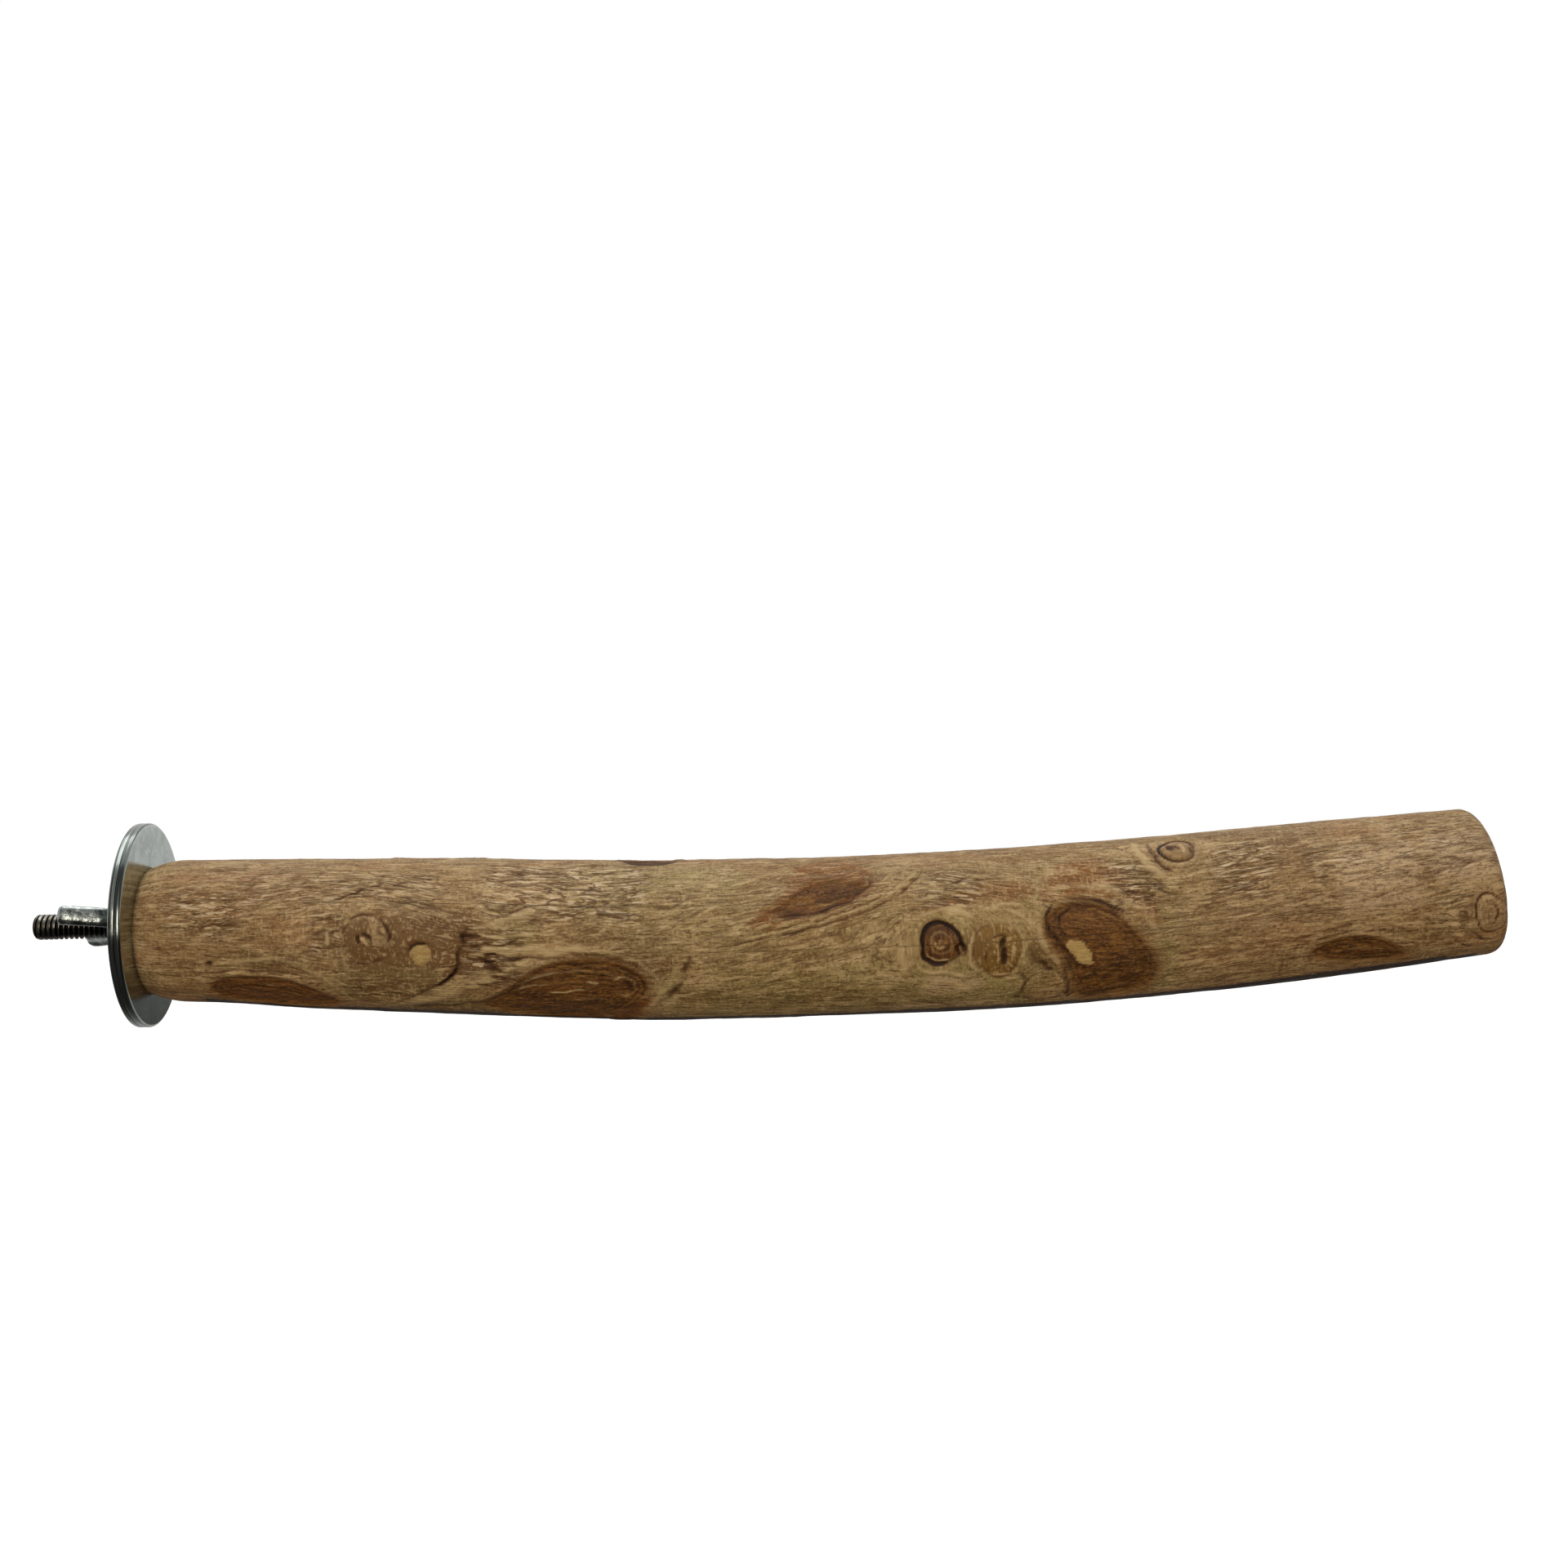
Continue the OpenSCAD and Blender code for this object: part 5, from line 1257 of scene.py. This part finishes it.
world = bpy.data.worlds.new("studio")
bpy.context.scene.world = world
world.use_nodes = True
tree = world.node_tree
rays = add_node(tree, "LightPath", out=None)
view = add_node(tree, "TexCoord", out=None)["Generated"]
toward = add_node(tree, "SeparateXYZ", {0: view}, None)
behind = add_node(tree, "MapRange", {0: toward[1], 1: -0.55, 2: 0.10, 3: 0.05, 4: 1.0},
                  interpolation_type="SMOOTHSTEP")
above = add_node(tree, "MapRange", {0: toward[2], 1: -0.05, 2: 0.05, 3: 0.65, 4: 0.85},
                 interpolation_type="SMOOTHSTEP")
behind = add_node(tree, "Math", {0: behind, 1: above}, operation="MULTIPLY")
overhead = add_node(tree, "MapRange", {0: toward[2], 1: 0.02, 2: 0.35, 3: 0.0, 4: 0.42},
                    interpolation_type="SMOOTHSTEP")
behind = add_node(tree, "Math", {0: behind, 1: overhead}, operation="MAXIMUM")
bounced = add_node(tree, "Math", {0: rays["Is Glossy Ray"], 1: rays["Is Transmission Ray"]},
                   operation="MAXIMUM")
strength = add_node(tree, "Math", {0: behind, 1: bounced, 2: rays["Is Camera Ray"]},
                    operation="MULTIPLY_ADD")
spread = add_node(tree, "Math", {0: rays["Is Diffuse Ray"], 1: 0.22, 2: strength},
                  operation="MULTIPLY_ADD")
sky = layered(tree, add_node(tree, "RGB"), [
    ("#FFFFFF", 1.0), ("#FFEBD4", 1.0, (rays["Is Diffuse Ray"], 0.0, 1.0))])
back = tree.nodes["Background"]
tree.links.new(sky, back.inputs["Color"])
tree.links.new(spread, back.inputs["Strength"])


def lamp(name, place, aim, size, power, colour):
    """A rectangular soft box at place, turned to face aim."""
    data = bpy.data.lights.new(name, "AREA")
    data.shape, data.size, data.size_y = "RECTANGLE", size[0], size[1]
    data.energy, data.color = power, linear(colour)[:3]
    piece = bpy.data.objects.new(name, data)
    piece.location = place
    reach = np.array(aim) - np.array(place)
    flat = math.hypot(reach[0], reach[1])
    heading = math.atan2(reach[0], -reach[1]) + math.pi if flat > 1e-6 else 0
    piece.rotation_euler = (math.atan2(flat, -reach[2]), 0, heading)
    bpy.context.scene.collection.objects.link(piece)


lamp("overhead", (0.16, 0.08, 0.60), (0.16, 0.02, 0.0), (0.9, 0.55), 3.0, "#F8FAFF")
lamp("fill", (0.10, -0.9, 0.13), (0.16, 0.0, 0.0), (0.6, 0.4), 3.8, "#FFF4E6")

bpy.context.scene.view_settings.view_transform = "Standard"
